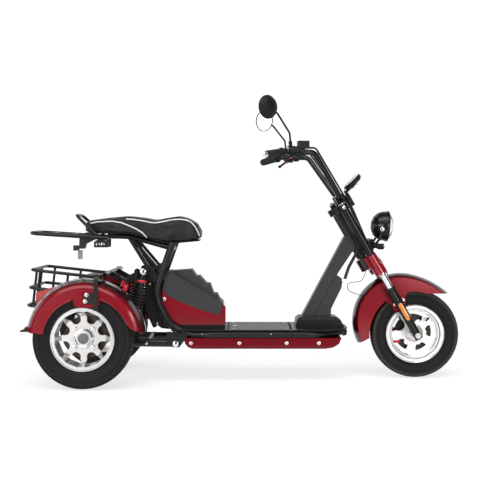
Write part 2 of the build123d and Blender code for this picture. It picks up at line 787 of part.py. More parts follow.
def straight_piece(start, end, diameter):
    """A sleeve on the run before the grip, by distance from the grip's corner."""
    corner = Vector(*bar_points()[3])
    riser = Vector(*bar_points()[2])
    along = (riser - corner).normalized()
    a = tuple(corner + along * start)
    b = tuple(corner + along * end)
    return rod(a, b, diameter) - rod(a, b, bar_diameter)


def bar_controls():
    """Switch housings, brake reservoirs and lever perches."""
    side = straight_piece(22, 62, 52) + straight_piece(66, 92, 40)
    perch = from_axle(-538, riser_half_spacing + 4, 876)
    block = Pos(*perch) * Rot(0, 0, -10) * Box(50, 40, 30)
    bracket = Pos(*from_axle(-542, riser_half_spacing + 10, 860)) * Box(20, 22, 10)
    side += block - straight_piece(10, 100, 40)
    return both(side)


def brake_levers():
    """Brake levers ahead of the grips."""
    start = from_axle(-556, riser_half_spacing + 34, 841)
    mid = from_axle(-594, riser_half_spacing + 62, 825)
    tip = from_axle(-624, riser_half_spacing + 102, 804)
    lever = tube([start, mid, tip], 11, 30)
    ball = Pos(*tip) * Sphere(8)
    root = rod(from_axle(-556, riser_half_spacing + 22, 843), start, 14)
    return both(lever + ball + root)


def mirror_place():
    """Centre of the left mirror and the way its glass looks."""
    return Plane(origin=from_axle(-701, 325, 1038), z_dir=(-0.64, -0.77, 0))


def mirrors():
    """Mirror heads on their stems."""
    base = from_axle(-595, riser_half_spacing + 18, 867)
    bend = from_axle(-601, riser_half_spacing + 34, 929)
    edge = from_axle(-657, 304, 1009)
    hub = from_axle(-690, 330, 1033)
    stem = tube([base, bend, edge, hub], 9, 14)
    r = mirror_diameter / 2
    head = mirror_place() * turned_z([(0, -26), (18, -25), (34, -20), (46, -11), (r, 0), (r, 3), (r - 4, 3), (r - 4, -2), (0, -2)])
    boot = rod(base, from_axle(-598, riser_half_spacing + 24, 893), 17)
    return both(stem + boot) - both(mirror_place() * Pos(0, 0, -2) * Cylinder(r - 4, 3, align=(Align.CENTER, Align.CENTER, Align.MIN))) + both(head)


def mirror_glass():
    """Mirror glasses."""
    r = mirror_diameter / 2
    return both(mirror_place() * Pos(0, 0, -2) * Cylinder(r - 4, 3, align=(Align.CENTER, Align.CENTER, Align.MIN)))


def display():
    """Round display ahead of the handlebar clamps."""
    face = Plane(origin=from_axle(-290, 0, 717), z_dir=(-0.69, 0, 0.72))
    r = display_diameter / 2
    dial = face * turned_z([(0, -16), (r - 12, -16), (r, -6), (r, 8), (r - 3, 10), (0, 10)])
    foot = fork * box(26, 62, -24, 24, 668, 729)
    arm = fork * box(48, 62, -14, 14, 729, 748)
    leg = rod(steer(55, 0, 740), from_axle(-280, 0, 706), 12)
    return dial + foot + arm + leg


def headlight_plane():
    """Centre of the headlight's rim, looking ahead and slightly down."""
    return Plane(origin=from_axle(-126, 0, 506), z_dir=(0.998, 0, -0.07))


def headlight():
    """Headlight shell."""
    r = headlight_diameter / 2
    shell = turned_z([(0, -79), (20, -77), (42, -68), (60, -50), (69, -28), (70, -8), (r, -8), (r, 0), (r - 6, 2), (r - 7, -4), (0, -4)])
    return headlight_plane() * shell


def headlight_lens():
    """Headlight glass."""
    r = headlight_diameter / 2
    return headlight_plane() * turned_z([(0, -4), (r - 7, -4), (r - 7, 2), (56, 14), (40, 24), (20, 31), (0, 33)])


def headlight_bracket():
    """Headlight fork, stay and the two turn signals."""
    top = from_axle(-160, 78, 494)
    fork_bar = tube([top, from_axle(-172, 78, 448), from_axle(-196, 44, 413), from_axle(-205, -44, 413)][:3], 11, 16)
    fork_bar += disc_y(front_axle_x - 160, front_radius + 494, 22, 70, 83)
    side = both(fork_bar)
    side += rod(from_axle(-196, -46, 413), from_axle(-196, 46, 413), 16)
    stem = plate(axle_outline((-214, 375), (-198, 381), (-188, 405), (-188, 421), (-206, 433), (-216, 397)), -16, 16)
    stay = rod(from_axle(-209, -82, 443), from_axle(-209, 82, 443), 12)
    web = plate(axle_outline((-200, 405), (-200, 445), (-214, 449), (-216, 405)), -12, 12)
    return side + stem + stay + web


def turn_signals():
    """Bullet turn signals beside the headlight."""
    body = turned_z([(0, -20), (9, -18), (14, -8), (14, 14), (0, 14)])
    side = Plane(origin=from_axle(-172, 96, 413), z_dir=(1, 0, 0)) * body
    side += rod(from_axle(-190, 96, 413), from_axle(-209, 84, 443), 8)
    return both(side)


def fork_reflectors():
    """Side reflectors on the sliders."""
    y = leg_y + slider_foot_diameter / 2
    return both(fork * box(-11, 11, y - 2, y + 4, 77, 180) - both(slider_leg()))


def fender_band(radius, start, end):
    """A crowned band round the Y axis between two angles measured from +X upward."""
    w = front_fender_half_width
    t = sheet
    crease = radius - 22
    low = radius - 110
    with BuildSketch(Plane.XY) as section:
        with BuildLine():
            Polyline((low, w), (crease, w))
            ThreePointArc((crease, w), (radius, 0), (crease, -w))
            Polyline((crease, -w), (low, -w), (low, -w + t), (crease, -w + t))
            ThreePointArc((crease, -w + t), (radius - t, 0), (crease, w - t))
            Polyline((crease, w - t), (low, w - t), (low, w))
        make_face()
    return Rot(0, -start, 0) * revolve(section.sketch, upward, revolution_arc=end - start)


def front_fender():
    """Front fender: a crowned band round the tyre with skirts and fork tabs."""
    w = front_fender_half_width
    join = 80
    step = front_fender_flat_radius - front_fender_radius
    a = radians(join)
    x, z = -66, 59
    fender = Pos(x, 0, z) * fender_band(front_fender_radius, join, 207)
    fender += Pos(x - step * cos(a), 0, z - step * sin(a)) * fender_band(front_fender_flat_radius, 46, join)
    fender = Pos(front_axle_x, 0, front_radius) * fender
    fender -= disc_y(front_axle_x - 13, front_radius - 4, 2 * front_radius - 4, -w - 1, w + 1)
    fender -= box(front_axle_x + 40, front_axle_x + 300, -w - 1, w + 1, 0, front_radius + 190.6)
    tongue = plate(axle_outline((-150, 165), (-134, 150), (-118, 142), (-104, 112), (-90, 100), (-66, 112), (-50, 138),
                                (-48, 162), (-52, 180), (-30, 205), (-80, 225), (-140, 200)), w - sheet, w)
    tab = fork * box(-9, 9, w - 1, leg_y - slider_diameter / 2 + 3, 192, 236)
    return fender + both(tongue + tab) - both(leg_rod(-14, 250, slider_diameter))


def front_caliper():
    """Front brake caliper on the left slider."""
    block = box(-108, -62, 22, 64, -50, 10)
    block -= box(-114, -50, 32, 40, -80, 40)
    arm = box(-104, -10, 56, leg_y - 6, -12, 20)
    caliper = Pos(front_axle_x, 0, front_radius) * (block + arm)
    return caliper - slider_leg()


def front_axle():
    """Front axle with its nuts."""
    face = leg_y + slider_foot_diameter / 2
    axle = disc_y(front_axle_x, front_radius, front_axle_diameter, -face - 10, face + 10)
    nut = disc_y(front_axle_x, front_radius, 26, face, face + 7)
    spacer = disc_y(front_axle_x, front_radius, 26, front_tyre_width / 2, leg_y - slider_foot_diameter / 2)
    return axle + both(nut) + both(spacer)


def looms():
    """Control looms from the switches, down ahead of the risers to the lower yoke."""
    y = riser_half_spacing
    return both(tube([
        from_axle(-536, y + 6, 865), from_axle(-481, y, 865), from_axle(-336, clamp_half_spacing + 20, 645),
        steer(46, 38, 728), steer(38, 38, 640), steer(24, 34, 520), steer(14, 32, 434),
    ], 9, 24))


def frame_loom():
    """Loom from the head tube down to the neck's gusset."""
    return tube([
        from_front(-262, -45, 640), from_front(-276, -45, 590), from_front(-314, -45, 520), from_front(-332, -45, 466),
    ], 15, 30)


# ---------------------------------------------------------------- export
def build():
    """Every node of the tricycle by name."""
    nodes = {
        "main_frame": main_frame(),
        "seat_subframe": seat_subframe(),
        "neck": neck(),
        "belly_pan": belly_pan(),
        "battery_pack": battery_pack(),
        "footboard": footboard(),
        "nose_cover": nose_cover(),
        "fairing": fairing(),
        "fairing_cover": fairing_cover(),
        "rear_shell": rear_shell(),
        "swing_arm": swing_arm(),
        "pivot_plates": pivot_plates(),
        "rear_axle": rear_axle(),
        "drive_motor": drive_motor(),
        "shocks": shocks(),
        "springs": springs(),
        "rear_fender_right": rear_fender(),
        "rear_fender_left": mirrored(rear_fender()),
        "fender_stays": fender_stays(),
        "tail_lamps": tail_lamps(),
        "cargo_basket": cargo_basket(),
        "basket_brackets": basket_brackets(),
        "top_rack": top_rack(),
        "grab_hoop": grab_hoop(),
        "seat_lock": seat_lock(),
        "seat_pan": seat_pan(),
        "seat": seat(),
        "frame_loom": frame_loom(),
        "deck_lid": deck_lid(),
        "fork_sliders": fork_sliders(),
        "fork_stanchions": fork_stanchions(),
        "fork_covers": fork_covers(),
        "lower_clamp": lower_clamp(),
        "top_clamp": top_clamp(),
        "handlebar": handlebar(),
        "grips": grips(),
        "bar_ends": bar_ends(),
        "bar_controls": bar_controls(),
        "brake_levers": brake_levers(),
        "mirrors": mirrors(),
        "mirror_glass": mirror_glass(),
        "display": display(),
        "headlight": headlight(),
        "headlight_lens": headlight_lens(),
        "headlight_bracket": headlight_bracket(),
        "turn_signals": turn_signals(),
        "fork_reflectors": fork_reflectors(),
        "front_fender": front_fender(),
        "front_caliper": front_caliper(),
        "front_axle": front_axle(),
        "looms": looms(),
    }
    for name, shape in zip(("tyre", "rim", "disc"), front_wheel()):
        nodes[f"front_{name}"] = shape
    for side, word in ((-1, "right"), (1, "left")):
        for name, shape in zip(("tyre", "rim", "disc"), rear_wheel(side)):
            nodes[f"rear_{name}_{word}"] = shape
    seats = {
        "seat_subframe": ["main_frame"],
        "neck": ["main_frame", "nose_cover"],
        "belly_pan": ["main_frame", "pivot_plates"],
        "footboard": ["main_frame"],
        "nose_cover": ["main_frame"],
        "fairing": ["main_frame", "fairing_cover"],
        "fairing_cover": ["main_frame", "seat_subframe"],
        "rear_shell": ["main_frame", "seat_subframe", "fairing", "fairing_cover"],
        "swing_arm": ["rear_axle"],
        "pivot_plates": ["main_frame", "swing_arm"],
        "shocks": ["seat_subframe", "swing_arm"],
        "springs": ["shocks"],
        "bar_controls": ["handlebar"],
        "fender_stays": ["seat_subframe"],
        "basket_brackets": ["fender_stays", "cargo_basket", "rear_axle"],
        "top_rack": ["seat_subframe"],
        "grab_hoop": ["top_rack"],
        "seat_lock": ["top_rack"],
        "seat_pan": ["seat_subframe", "top_rack", "grab_hoop", "main_frame"],
        "seat": ["seat_pan", "top_rack", "grab_hoop", "main_frame", "seat_subframe"],
        "handlebar": ["top_clamp"],
        "brake_levers": ["bar_controls", "grips", "handlebar"],
        "mirrors": ["bar_controls", "handlebar"],
        "display": ["top_clamp", "handlebar"],
        "headlight_bracket": ["headlight", "lower_clamp"],
        "turn_signals": ["headlight_bracket"],
        "front_caliper": ["front_axle"],
        "looms": ["handlebar", "bar_controls"],
        "frame_loom": ["neck"],
    }
    for name, others in seats.items():
        for other in others:
            nodes[name] -= nodes[other]
    return nodes


os.makedirs("parts", exist_ok=True)
for node, shape in build().items():
    export_step(shape, f"parts/{node}.step")
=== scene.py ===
import math

import bmesh
import bpy
from mathutils import Matrix, Vector
from mathutils.bvhtree import BVHTree


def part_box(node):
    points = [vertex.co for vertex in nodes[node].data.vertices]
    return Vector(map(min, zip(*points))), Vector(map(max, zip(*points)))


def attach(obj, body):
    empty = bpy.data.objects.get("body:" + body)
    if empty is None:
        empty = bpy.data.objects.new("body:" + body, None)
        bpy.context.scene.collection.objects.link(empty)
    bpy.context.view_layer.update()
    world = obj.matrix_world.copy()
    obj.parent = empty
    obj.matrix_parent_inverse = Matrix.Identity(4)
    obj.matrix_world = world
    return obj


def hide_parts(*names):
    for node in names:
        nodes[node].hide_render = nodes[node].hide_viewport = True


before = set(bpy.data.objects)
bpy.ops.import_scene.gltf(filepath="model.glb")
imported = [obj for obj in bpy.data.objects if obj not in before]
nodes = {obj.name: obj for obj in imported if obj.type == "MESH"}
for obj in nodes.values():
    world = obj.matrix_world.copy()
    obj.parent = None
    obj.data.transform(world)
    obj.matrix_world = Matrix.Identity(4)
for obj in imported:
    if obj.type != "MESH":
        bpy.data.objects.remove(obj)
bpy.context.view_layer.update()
scene = bpy.context.scene

# ------------------------------------------------------------------ places read from the frame


def centre(node):
    low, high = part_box(node)
    return (Vector(low) + Vector(high)) / 2


front_axle = centre("front_tyre")
rear_axle_right = centre("rear_tyre_right")
rear_axle_left = centre("rear_tyre_left")
rake = math.radians(30)
leg_side = 97                     # half the spacing of the fork legs, in millimetres
front_tyre_radius, front_flange = 0.207, 0.138
rear_tyre_radius, rear_flange = 0.222, 0.142
fender_start, fender_end = math.radians(6.5), math.radians(172)


def from_rear(x, y, z):
    """A point x ahead of the rear axle, y across, z over the ground, in millimetres."""
    return Vector((rear_axle_right.x + x / 1000, y / 1000, z / 1000))


def from_front(x, y, z):
    """A point x ahead of the front axle, in millimetres."""
    return Vector((front_axle.x + x / 1000, y / 1000, z / 1000))


def on_fork(n, y, u):
    """A point n ahead of the fork legs and u up along them, in millimetres."""
    n, u = n / 1000, u / 1000
    return Vector((front_axle.x + n * math.cos(rake) - u * math.sin(rake), y / 1000,
                   front_axle.z + n * math.sin(rake) + u * math.cos(rake)))


# ------------------------------------------------------------------ finishes


class Value:
    """A shader socket that takes part in plain arithmetic."""

    def __init__(self, finish, socket):
        self.finish = finish
        self.socket = socket

    def _maths(self, operation, *values):
        return self.finish.node("ShaderNodeMath", {"operation": operation}, dict(enumerate(values)))

    def __add__(self, other):
        return self._maths("ADD", self, other)

    __radd__ = __add__

    def __mul__(self, other):
        return self._maths("MULTIPLY", self, other)

    __rmul__ = __mul__

    def __sub__(self, other):
        return self._maths("SUBTRACT", self, other)

    def __rsub__(self, other):
        return self._maths("SUBTRACT", other, self)

    def __truediv__(self, other):
        return self._maths("DIVIDE", self, other)

    def __pow__(self, other):
        return self._maths("POWER", self, other)

    def over(self, edge):
        return self._maths("GREATER_THAN", self, edge)

    def under(self, edge):
        return self._maths("LESS_THAN", self, edge)

    def sine(self):
        return self._maths("SINE", self)

    def limited(self, low=0.0, high=1.0):
        span = {"From Min": 0.0, "From Max": 1.0, "To Min": low, "To Max": high}
        return self.finish.node("ShaderNodeMapRange", {"clamp": True}, {"Value": self, **span})


class Finish:
    """A material with one shader, built by naming what each socket gets."""

    def __init__(self, name, **sockets):
        self.material = bpy.data.materials.new(name)
        self.material.use_nodes = True
        self.tree = self.material.node_tree
        self.shader = self.tree.nodes["Principled BSDF"]
        self.place = self.node("ShaderNodeTexCoord", out="Object")
        self.set(**sockets)

    @classmethod
    def again(cls, material):
        """Opens a finished material to add to it."""
        made = cls.__new__(cls)
        made.material = material
        made.tree = material.node_tree
        made.shader = made.tree.nodes["Principled BSDF"]
        made.place = made.node("ShaderNodeTexCoord", out="Object")
        return made

    def node(self, kind, settings=None, inputs=None, out=0):
        made = self.tree.nodes.new(kind)
        for key, value in (settings or {}).items():
            if key == "stops":
                ramp = made.color_ramp
                while len(ramp.elements) < len(value):
                    ramp.elements.new(0.5)
                for element, (position, colour) in zip(ramp.elements, value):
                    element.position = position
                    element.color = (*colour, 1)
            else:
                setattr(made, key, value)
        for key, value in (inputs or {}).items():
            self.feed(made.inputs[key], value)
        return Value(self, made.outputs[out])

    def feed(self, socket, value):
        if isinstance(value, Value):
            self.tree.links.new(value.socket, socket)
        elif socket.type == "RGBA" and len(value) == 3:
            socket.default_value = (*value, 1)
        else:
            socket.default_value = value

    def set(self, **sockets):
        for key, value in sockets.items():
            self.feed(self.shader.inputs[key.replace("_", " ")], value)
        return self

    def moved(self, shift=(0, 0, 0), turn=(0, 0, 0), stretch=(1, 1, 1)):
        return self.node("ShaderNodeMapping", {"vector_type": "POINT"},
                         {"Vector": self.place, "Location": shift, "Rotation": turn, "Scale": stretch})

    def noise(self, scale, detail=3.0, rough=0.55, at=None):
        return self.node("ShaderNodeTexNoise", {},
                         {"Vector": at or self.place, "Scale": scale, "Detail": detail,
                                                    "Roughness": rough})

    def cells(self, scale, feature="F1", at=None, out="Distance"):
        return self.node("ShaderNodeTexVoronoi", {"feature": feature},
                         {"Vector": at or self.place, "Scale": scale}, out)

    def axis(self, letter, at=None):
        return self.node("ShaderNodeSeparateXYZ", {}, {"Vector": at or self.place}, out=letter)

    def blend(self, amount, first, second):
        return self.node("ShaderNodeMix", {"data_type": "RGBA"}, {0: amount, 6: first, 7: second}, out=2)

    def relief(self, height, depth, strength=1.0):
        return self.node("ShaderNodeBump", {}, {"Height": height, "Distance": depth, "Strength": strength})


def enamel(name, colour, rough=0.32, dust=0.25):
    """Sprayed frame paint with a fine orange peel and a little dust."""
    f = Finish(name, Specular_IOR_Level=0.3)
    cloud = f.noise(6, 4)
    paler = tuple(c * 1.5 + 0.008 for c in colour)
    f.set(Base_Color=f.blend((cloud * dust).limited(), colour, paler),
          Roughness=(cloud * 0.16 + (rough - 0.08)).limited(),
          Normal=f.relief(f.noise(420, 2), 0.0003, 0.35))
    return f.material


def moulding(name, colour, rough=0.5, grain=900):
    """Moulded plastic with a pressed grain."""
    f = Finish(name, Specular_IOR_Level=0.24)
    cloud = f.noise(9, 3)
    skin = f.cells(grain, "SMOOTH_F1")
    f.set(Base_Color=f.blend((cloud * 0.5).limited(), colour, tuple(c * 1.45 + 0.004 for c in colour)),
          Roughness=(cloud * 0.14 + skin * 0.08 + (rough - 0.1)).limited(),
          Normal=f.relief(skin, 0.0003, 0.45))
    return f.material


def lacquer(name, deep, bright, flake=1500, coat=1.0):
    """Metallic lacquer: flakes under a clear coat, gently uneven."""
    f = Finish(name, Metallic=0.2, Coat_Weight=coat, Coat_Roughness=0.13, Specular_IOR_Level=0.1)
    sparkle = f.cells(flake, out="Color")
    twinkle = f.node("ShaderNodeSeparateXYZ", {}, {"Vector": sparkle}, out="X")
    cloud = f.noise(4, 2)
    f.set(Base_Color=f.blend((twinkle * 0.55 + cloud * 0.45).limited(), deep, bright),
          Roughness=(twinkle * 0.16 + 0.22).limited(),
          Normal=f.relief(f.noise(60, 2), 0.0004, 0.12))
    return f.material


def lacquer_with_painted_shade(name, deep, bright, crown):
    """Body lacquer with painted shade: it falls to a near-black red over the crown, standing for the
    crown's shade and dark reflection; crown builds the 0 to 1 share of it.
    """
    material = lacquer(name, deep, bright)
    f = Finish.again(material)
    flat = f.shader.inputs["Base Color"].links[0].from_socket
    # painted shade: the near-black red (0.018, 0.0, 0.0015) laid over the crown
    f.set(Base_Color=f.blend(crown(f).limited(), Value(f, flat), (0.018, 0.0, 0.0015)))
    return material


def turned_alloy(name, hub, colour=(0.8, 0.8, 0.81), rough=0.16):
    """Polished cast alloy with the fine rings of the lathe round its hub."""
    f = Finish(name, Metallic=1.0)
    local = f.moved(shift=(-hub.x, -hub.y, -hub.z))
    x, z = f.axis("X", local), f.axis("Z", local)
    radius = (x * x + z * z) ** 0.5
    rings = f.node("ShaderNodeTexNoise", {"noise_dimensions": "1D"},
                   {"W": radius, "Scale": 2400.0, "Detail": 1.0})
    cloud = f.noise(22, 3)
    f.set(Base_Color=f.blend((cloud * 0.7).limited(), colour, tuple(c * 0.86 for c in colour)),
          Roughness=(rings * 0.12 + cloud * 0.08 + (rough - 0.06)).limited(),
          Normal=f.relief(rings, 0.00012, 0.25))
    return f.material


def bright_metal(name, colour, rough=0.12, streak=120):
    """Plated or machined metal with faint streaks."""
    f = Finish(name, Metallic=1.0)
    streaks = f.noise(streak, 2, at=f.moved(stretch=(1, 1, 0.12)))
    cloud = f.noise(35, 3)
    f.set(Base_Color=f.blend((cloud * 0.6).limited(), colour, tuple(c * 0.8 for c in colour)),
          Roughness=(streaks * 0.12 + cloud * 0.08 + max(rough - 0.08, 0.0)).limited(),
          Normal=f.relief(streaks, 0.0001, 0.2))
    return f.material


def tyre_rubber(name, hub, tread_radius):
    """Rubber with a dull tread, a sheen on the wall and a little road dust."""
    f = Finish(name, Specular_IOR_Level=0.18)
    local = f.moved(shift=(-hub.x, -hub.y, -hub.z))
    x, z = f.axis("X", local), f.axis("Z", local)
    radius = (x * x + z * z) ** 0.5
    dusty = ((radius - (tread_radius - 0.03)) / 0.03).limited()
    cloud = f.noise(26, 4)
    f.set(Base_Color=f.blend((dusty * cloud * 0.9).limited(), (0.006, 0.006, 0.006), (0.03, 0.026, 0.021)),
          Roughness=(dusty * 0.2 + cloud * 0.16 + 0.46).limited(),
          Normal=f.relief(f.noise(700, 3), 0.0003, 0.4))
    return f.material


def vinyl(name, colour):
    """Seat covering with a pebbled grain and soft creases."""
    f = Finish(name, Specular_IOR_Level=0.26, Sheen_Weight=0.03)
    pebble = f.cells(620, "SMOOTH_F1")
    crease = f.noise(28, 5, at=f.moved(stretch=(1, 2.4, 1.6)))
    f.set(Base_Color=f.blend((crease * 0.5 + pebble * 0.3).limited(), colour,
                             tuple(c * 1.7 + 0.006 for c in colour)),
          Roughness=(pebble * 0.18 + crease * 0.14 + 0.3).limited(),
          Normal=f.relief(pebble * 0.5 + crease * 0.9, 0.0006, 0.5))
    return f.material


def ribbed_hose(name, along):
    """Split loom: rings along the way it runs."""
    f = Finish(name, Specular_IOR_Level=0.4)
    x, z = f.axis("X"), f.axis("Z")
    rings = ((x * along[0] + z * along[1]) * 1900).sine()
    cloud = f.noise(20, 3)
    f.set(Base_Color=f.blend((cloud * 0.6).limited(), (0.012, 0.012, 0.013), (0.035, 0.035, 0.036)),
          Roughness=(cloud * 0.2 + 0.4).limited(), Normal=f.relief(rings, 0.0008, 0.8))
    return f.material


def lens(name, colour, pitch, clear=0.0, glow=0.0):
    """Moulded lens with a pressed prism pattern."""
    f = Finish(name, Transmission_Weight=clear, IOR=1.49, Coat_Weight=1.0, Coat_Roughness=0.03)
    prisms = f.cells(pitch, "F1", out="Distance")
    cloud = f.noise(30, 2)
    shade = f.blend((prisms * 0.8 + cloud * 0.2).limited(), tuple(c * 0.55 for c in colour), colour)
    f.set(Base_Color=shade, Roughness=(cloud * 0.1 + 0.1).limited(), Normal=f.relief(prisms, 0.001, 0.5))
    if glow:
        f.set(Emission_Color=shade, Emission_Strength=glow)
    return f.material


def tread_mat(name):
    """Footboard rubber: fine ribs across, crossed by wider channels."""
    f = Finish(name, Specular_IOR_Level=0.4)
    ribs = (f.axis("X") * 1570).sine()
    lanes = (f.axis("Y") * 420).sine().over(0.93)
    cloud = f.noise(12, 4)
    f.set(Base_Color=f.blend((cloud * 0.6).limited(), (0.02, 0.02, 0.021), (0.05, 0.05, 0.05)),
          Roughness=(cloud * 0.22 + 0.36).limited(),
          Normal=f.relief((ribs * 0.5 + 0.5) * (1 - lanes), 0.0009, 0.7))
    return f.material


def mirror_silver(name):
    """Silvered glass with a breath of dust."""
    f = Finish(name, Metallic=1.0)
    cloud = f.noise(40, 4)
    f.set(Base_Color=f.blend((cloud * 0.5).limited(), (0.86, 0.89, 0.88), (0.7, 0.75, 0.73)),
          Roughness=(cloud * 0.08).limited())
    return f.material


def clear_glass(name):
    """Headlight glass."""
    f = Finish(name, Transmission_Weight=1.0, IOR=1.45)
    flutes = (f.axis("Y") * 260).sine()
    f.set(Base_Color=f.blend(f.noise(30, 2), (0.97, 0.98, 1.0), (0.9, 0.93, 0.95)),
          Roughness=(f.noise(60, 2) * 0.05).limited(), Normal=f.relief(flutes, 0.0004, 0.25))
    return f.material


black_paint = enamel("satin_black_enamel", (0.006, 0.006, 0.0065))
neck_paint = enamel("charcoal_enamel", (0.022, 0.023, 0.025), 0.38, 0.5)
slider_paint = enamel("gloss_black_enamel", (0.004, 0.004, 0.0045), 0.24)
black_plastic = moulding("black_moulding", (0.004, 0.004, 0.0042))
deck_plastic = moulding("deck_moulding", (0.006, 0.006, 0.0063), 0.36, 500)
cover_plastic = moulding("charcoal_moulding", (0.03, 0.03, 0.033), 0.5, 1100)
body_red = lacquer("ruby_lacquer", (0.14, 0.0, 0.004), (0.3, 0.002, 0.014))
pan_red = lacquer("deep_ruby_lacquer", (0.09, 0.0, 0.003), (0.19, 0.0, 0.007), 1500, 0.12)
# painted shadow: the yoke block between the fork legs, within about 70 to 76 mm of the middle, is laid
# near-black red
clamp_red_painted_shadow = lacquer_with_painted_shade("ruby_anodising", (0.16, 0.0, 0.006), (0.34, 0.002, 0.014),
                          lambda f: (0.076 - (f.axis("Y") * f.axis("Y")) ** 0.5) / 0.006)
fender_middle = from_rear(10, 0, 0)
# painted shade: the rear fenders' crowns, more than 240 mm from the fender centre, are laid near-black red
# for their dark reflection
rear_fender_red_painted_shade = lacquer_with_painted_shade("fender_lacquer", (0.14, 0.0, 0.004), (0.3, 0.002, 0.014), lambda f: (
    ((f.axis("X") - fender_middle.x) ** 2 + (f.axis("Z") - rear_axle_right.z) ** 2) ** 0.5 - 0.240) / 0.012)
# painted shade: the middle band of the front fender's crown, within about 52 to 58 mm of the middle, is
# laid near-black red for its dark reflection
front_fender_red_painted_shade = lacquer_with_painted_shade("front_fender_lacquer", (0.14, 0.0, 0.004), (0.3, 0.002, 0.014),
                                 lambda f: (0.058 - (f.axis("Y") * f.axis("Y")) ** 0.5) / 0.006)
rear_alloy = turned_alloy("turned_alloy_rear", rear_axle_right, (0.74, 0.73, 0.72), 0.26)
front_alloy = turned_alloy("turned_alloy_front", front_axle, (0.88, 0.87, 0.86), 0.3)
motor_alloy = bright_metal("cast_alloy", (0.3, 0.3, 0.31), 0.42, 60)
chrome = bright_metal("chrome", (0.86, 0.86, 0.87), 0.08)
zinc = bright_metal("zinc_plate", (0.66, 0.65, 0.6), 0.26)
# painted shade: both brake discs get near-black steel colours for the shade they lie in behind the rims
disc_steel = turned_alloy("brake_steel_front_painted_shade", front_axle, (0.05, 0.042, 0.036), 0.4)
rear_disc_steel = turned_alloy("brake_steel_rear_painted_shade", rear_axle_right, (0.1, 0.075, 0.055), 0.45)
front_rubber = tyre_rubber("tyre_rubber_front", front_axle, front_tyre_radius)
rear_rubber = tyre_rubber("tyre_rubber_rear", rear_axle_right, rear_tyre_radius)
lug_rubber = moulding("lug_rubber", (0.075, 0.06, 0.048), 0.6, 1200)
hub_grey = enamel("hub_grey", (0.12, 0.12, 0.125), 0.35, 0.3)
black_rubber = moulding("soft_rubber", (0.012, 0.012, 0.012), 0.62, 1300)
seat_vinyl = vinyl("seat_vinyl", (0.008, 0.008, 0.0085))
seat_side_vinyl = vinyl("seat_side_vinyl", (0.02, 0.02, 0.021))
piping_vinyl = vinyl("piping_vinyl", (0.6, 0.59, 0.56))
loom_hose = ribbed_hose("loom_hose", (-0.55, 0.83))
amber = lens("amber_lens", (0.95, 0.27, 0.015), 260, 0.1)
red_lens = lens("red_lens", (0.6, 0.02, 0.03), 320, 0.15)
mat_rubber = tread_mat("footboard_rubber")
mirror_face = mirror_silver("mirror_silver")
lamp_glass = clear_glass("lamp_glass")
spring_black = enamel("spring_black_enamel", (0.008, 0.008, 0.009), 0.17)
reservoir_red = lacquer("reservoir_red", (0.45, 0.0, 0.01), (0.75, 0.01, 0.03), 2600)
button_red = moulding("button_red", (0.75, 0.02, 0.01), 0.35)
dial_white = moulding("dial_white", (0.62, 0.6, 0.66), 0.4)
led_white = lens("lamp_white", (0.95, 0.96, 0.98), 500, 0.0, 0.25)
wire_insulation = moulding("wire_insulation", (0.05, 0.05, 0.05), 0.45)
lock_paint = enamel("lock_enamel", (0.006, 0.006, 0.0065))
lock_finish = Finish.again(lock_paint)
lock_finish.set(Base_Color=lock_finish.blend(lock_finish.axis("Z").under(0.5985), (0.006, 0.006, 0.0065),
                                             (0.33, 0.32, 0.34)))
shadow_gap = moulding("shadow_gap", (0.004, 0.004, 0.004), 0.85)

# ------------------------------------------------------------------ mesh helpers


def piece(name, mesh, material, body):
    """A finished mesh as a piece of a body."""
    item = bpy.data.objects.new(name, mesh)
    scene.collection.objects.link(item)
    item.data.materials.clear()
    item.data.materials.append(material)
    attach(item, body)
    return item


def shaded(mesh, angle=math.radians(35)):
    """Smooth shading that keeps sharp corners."""
    for polygon in mesh.polygons:
        polygon.use_smooth = True
    mesh.set_sharp_from_angle(angle=angle)
    return mesh


def from_bmesh(name, work, angle=math.radians(35)):
    bmesh.ops.remove_doubles(work, verts=work.verts, dist=1e-6)
    bmesh.ops.recalc_face_normals(work, faces=work.faces)
    mesh = bpy.data.meshes.new(name)
    work.to_mesh(mesh)
    work.free()
    return shaded(mesh, angle)


def facing(origin, normal, twist=0.0):
    """A matrix whose Z looks along a normal at a point."""
    turn = Vector(normal).to_track_quat("Z", "Y").to_matrix().to_4x4()
    return Matrix.Translation(origin) @ turn @ Matrix.Rotation(twist, 4, "Z")


def lathe(work, profile, place, steps=48, closed=False):
    """Adds a turned shape: profile is (radius, height) pairs, place its matrix with Z as the axis."""
    loops = []
    for radius, height in profile:
        if radius < 1e-6:
            loops.append([work.verts.new(place @ Vector((0, 0, height)))])
            continue
        loops.append([work.verts.new(place @ Vector((radius * math.cos(a), radius * math.sin(a), height)))
                      for a in (2 * math.pi * i / steps for i in range(steps))])
    pairs = list(zip(loops, loops[1:])) + ([(loops[-1], loops[0])] if closed else [])
    for lower, upper in pairs:
        for i in range(steps):
            j = (i + 1) % steps
            if len(lower) == 1 and len(upper) == 1:
                continue
            if len(lower) == 1:
                work.faces.new((lower[0], upper[i], upper[j]))
            elif len(upper) == 1:
                work.faces.new((lower[i], lower[j], upper[0]))
            else:
                work.faces.new((lower[i], lower[j], upper[j], upper[i]))


def turned(name, profile, place, material, body, steps=48, closed=False):
    work = bmesh.new()
    lathe(work, profile, place, steps, closed)
    return piece(name, from_bmesh(name, work), material, body)


def baked(item):
    """The evaluated mesh of an object, as plain data."""
    graph = bpy.context.evaluated_depsgraph_get()
    graph.update()
    return bpy.data.meshes.new_from_object(item.evaluated_get(graph), depsgraph=graph)


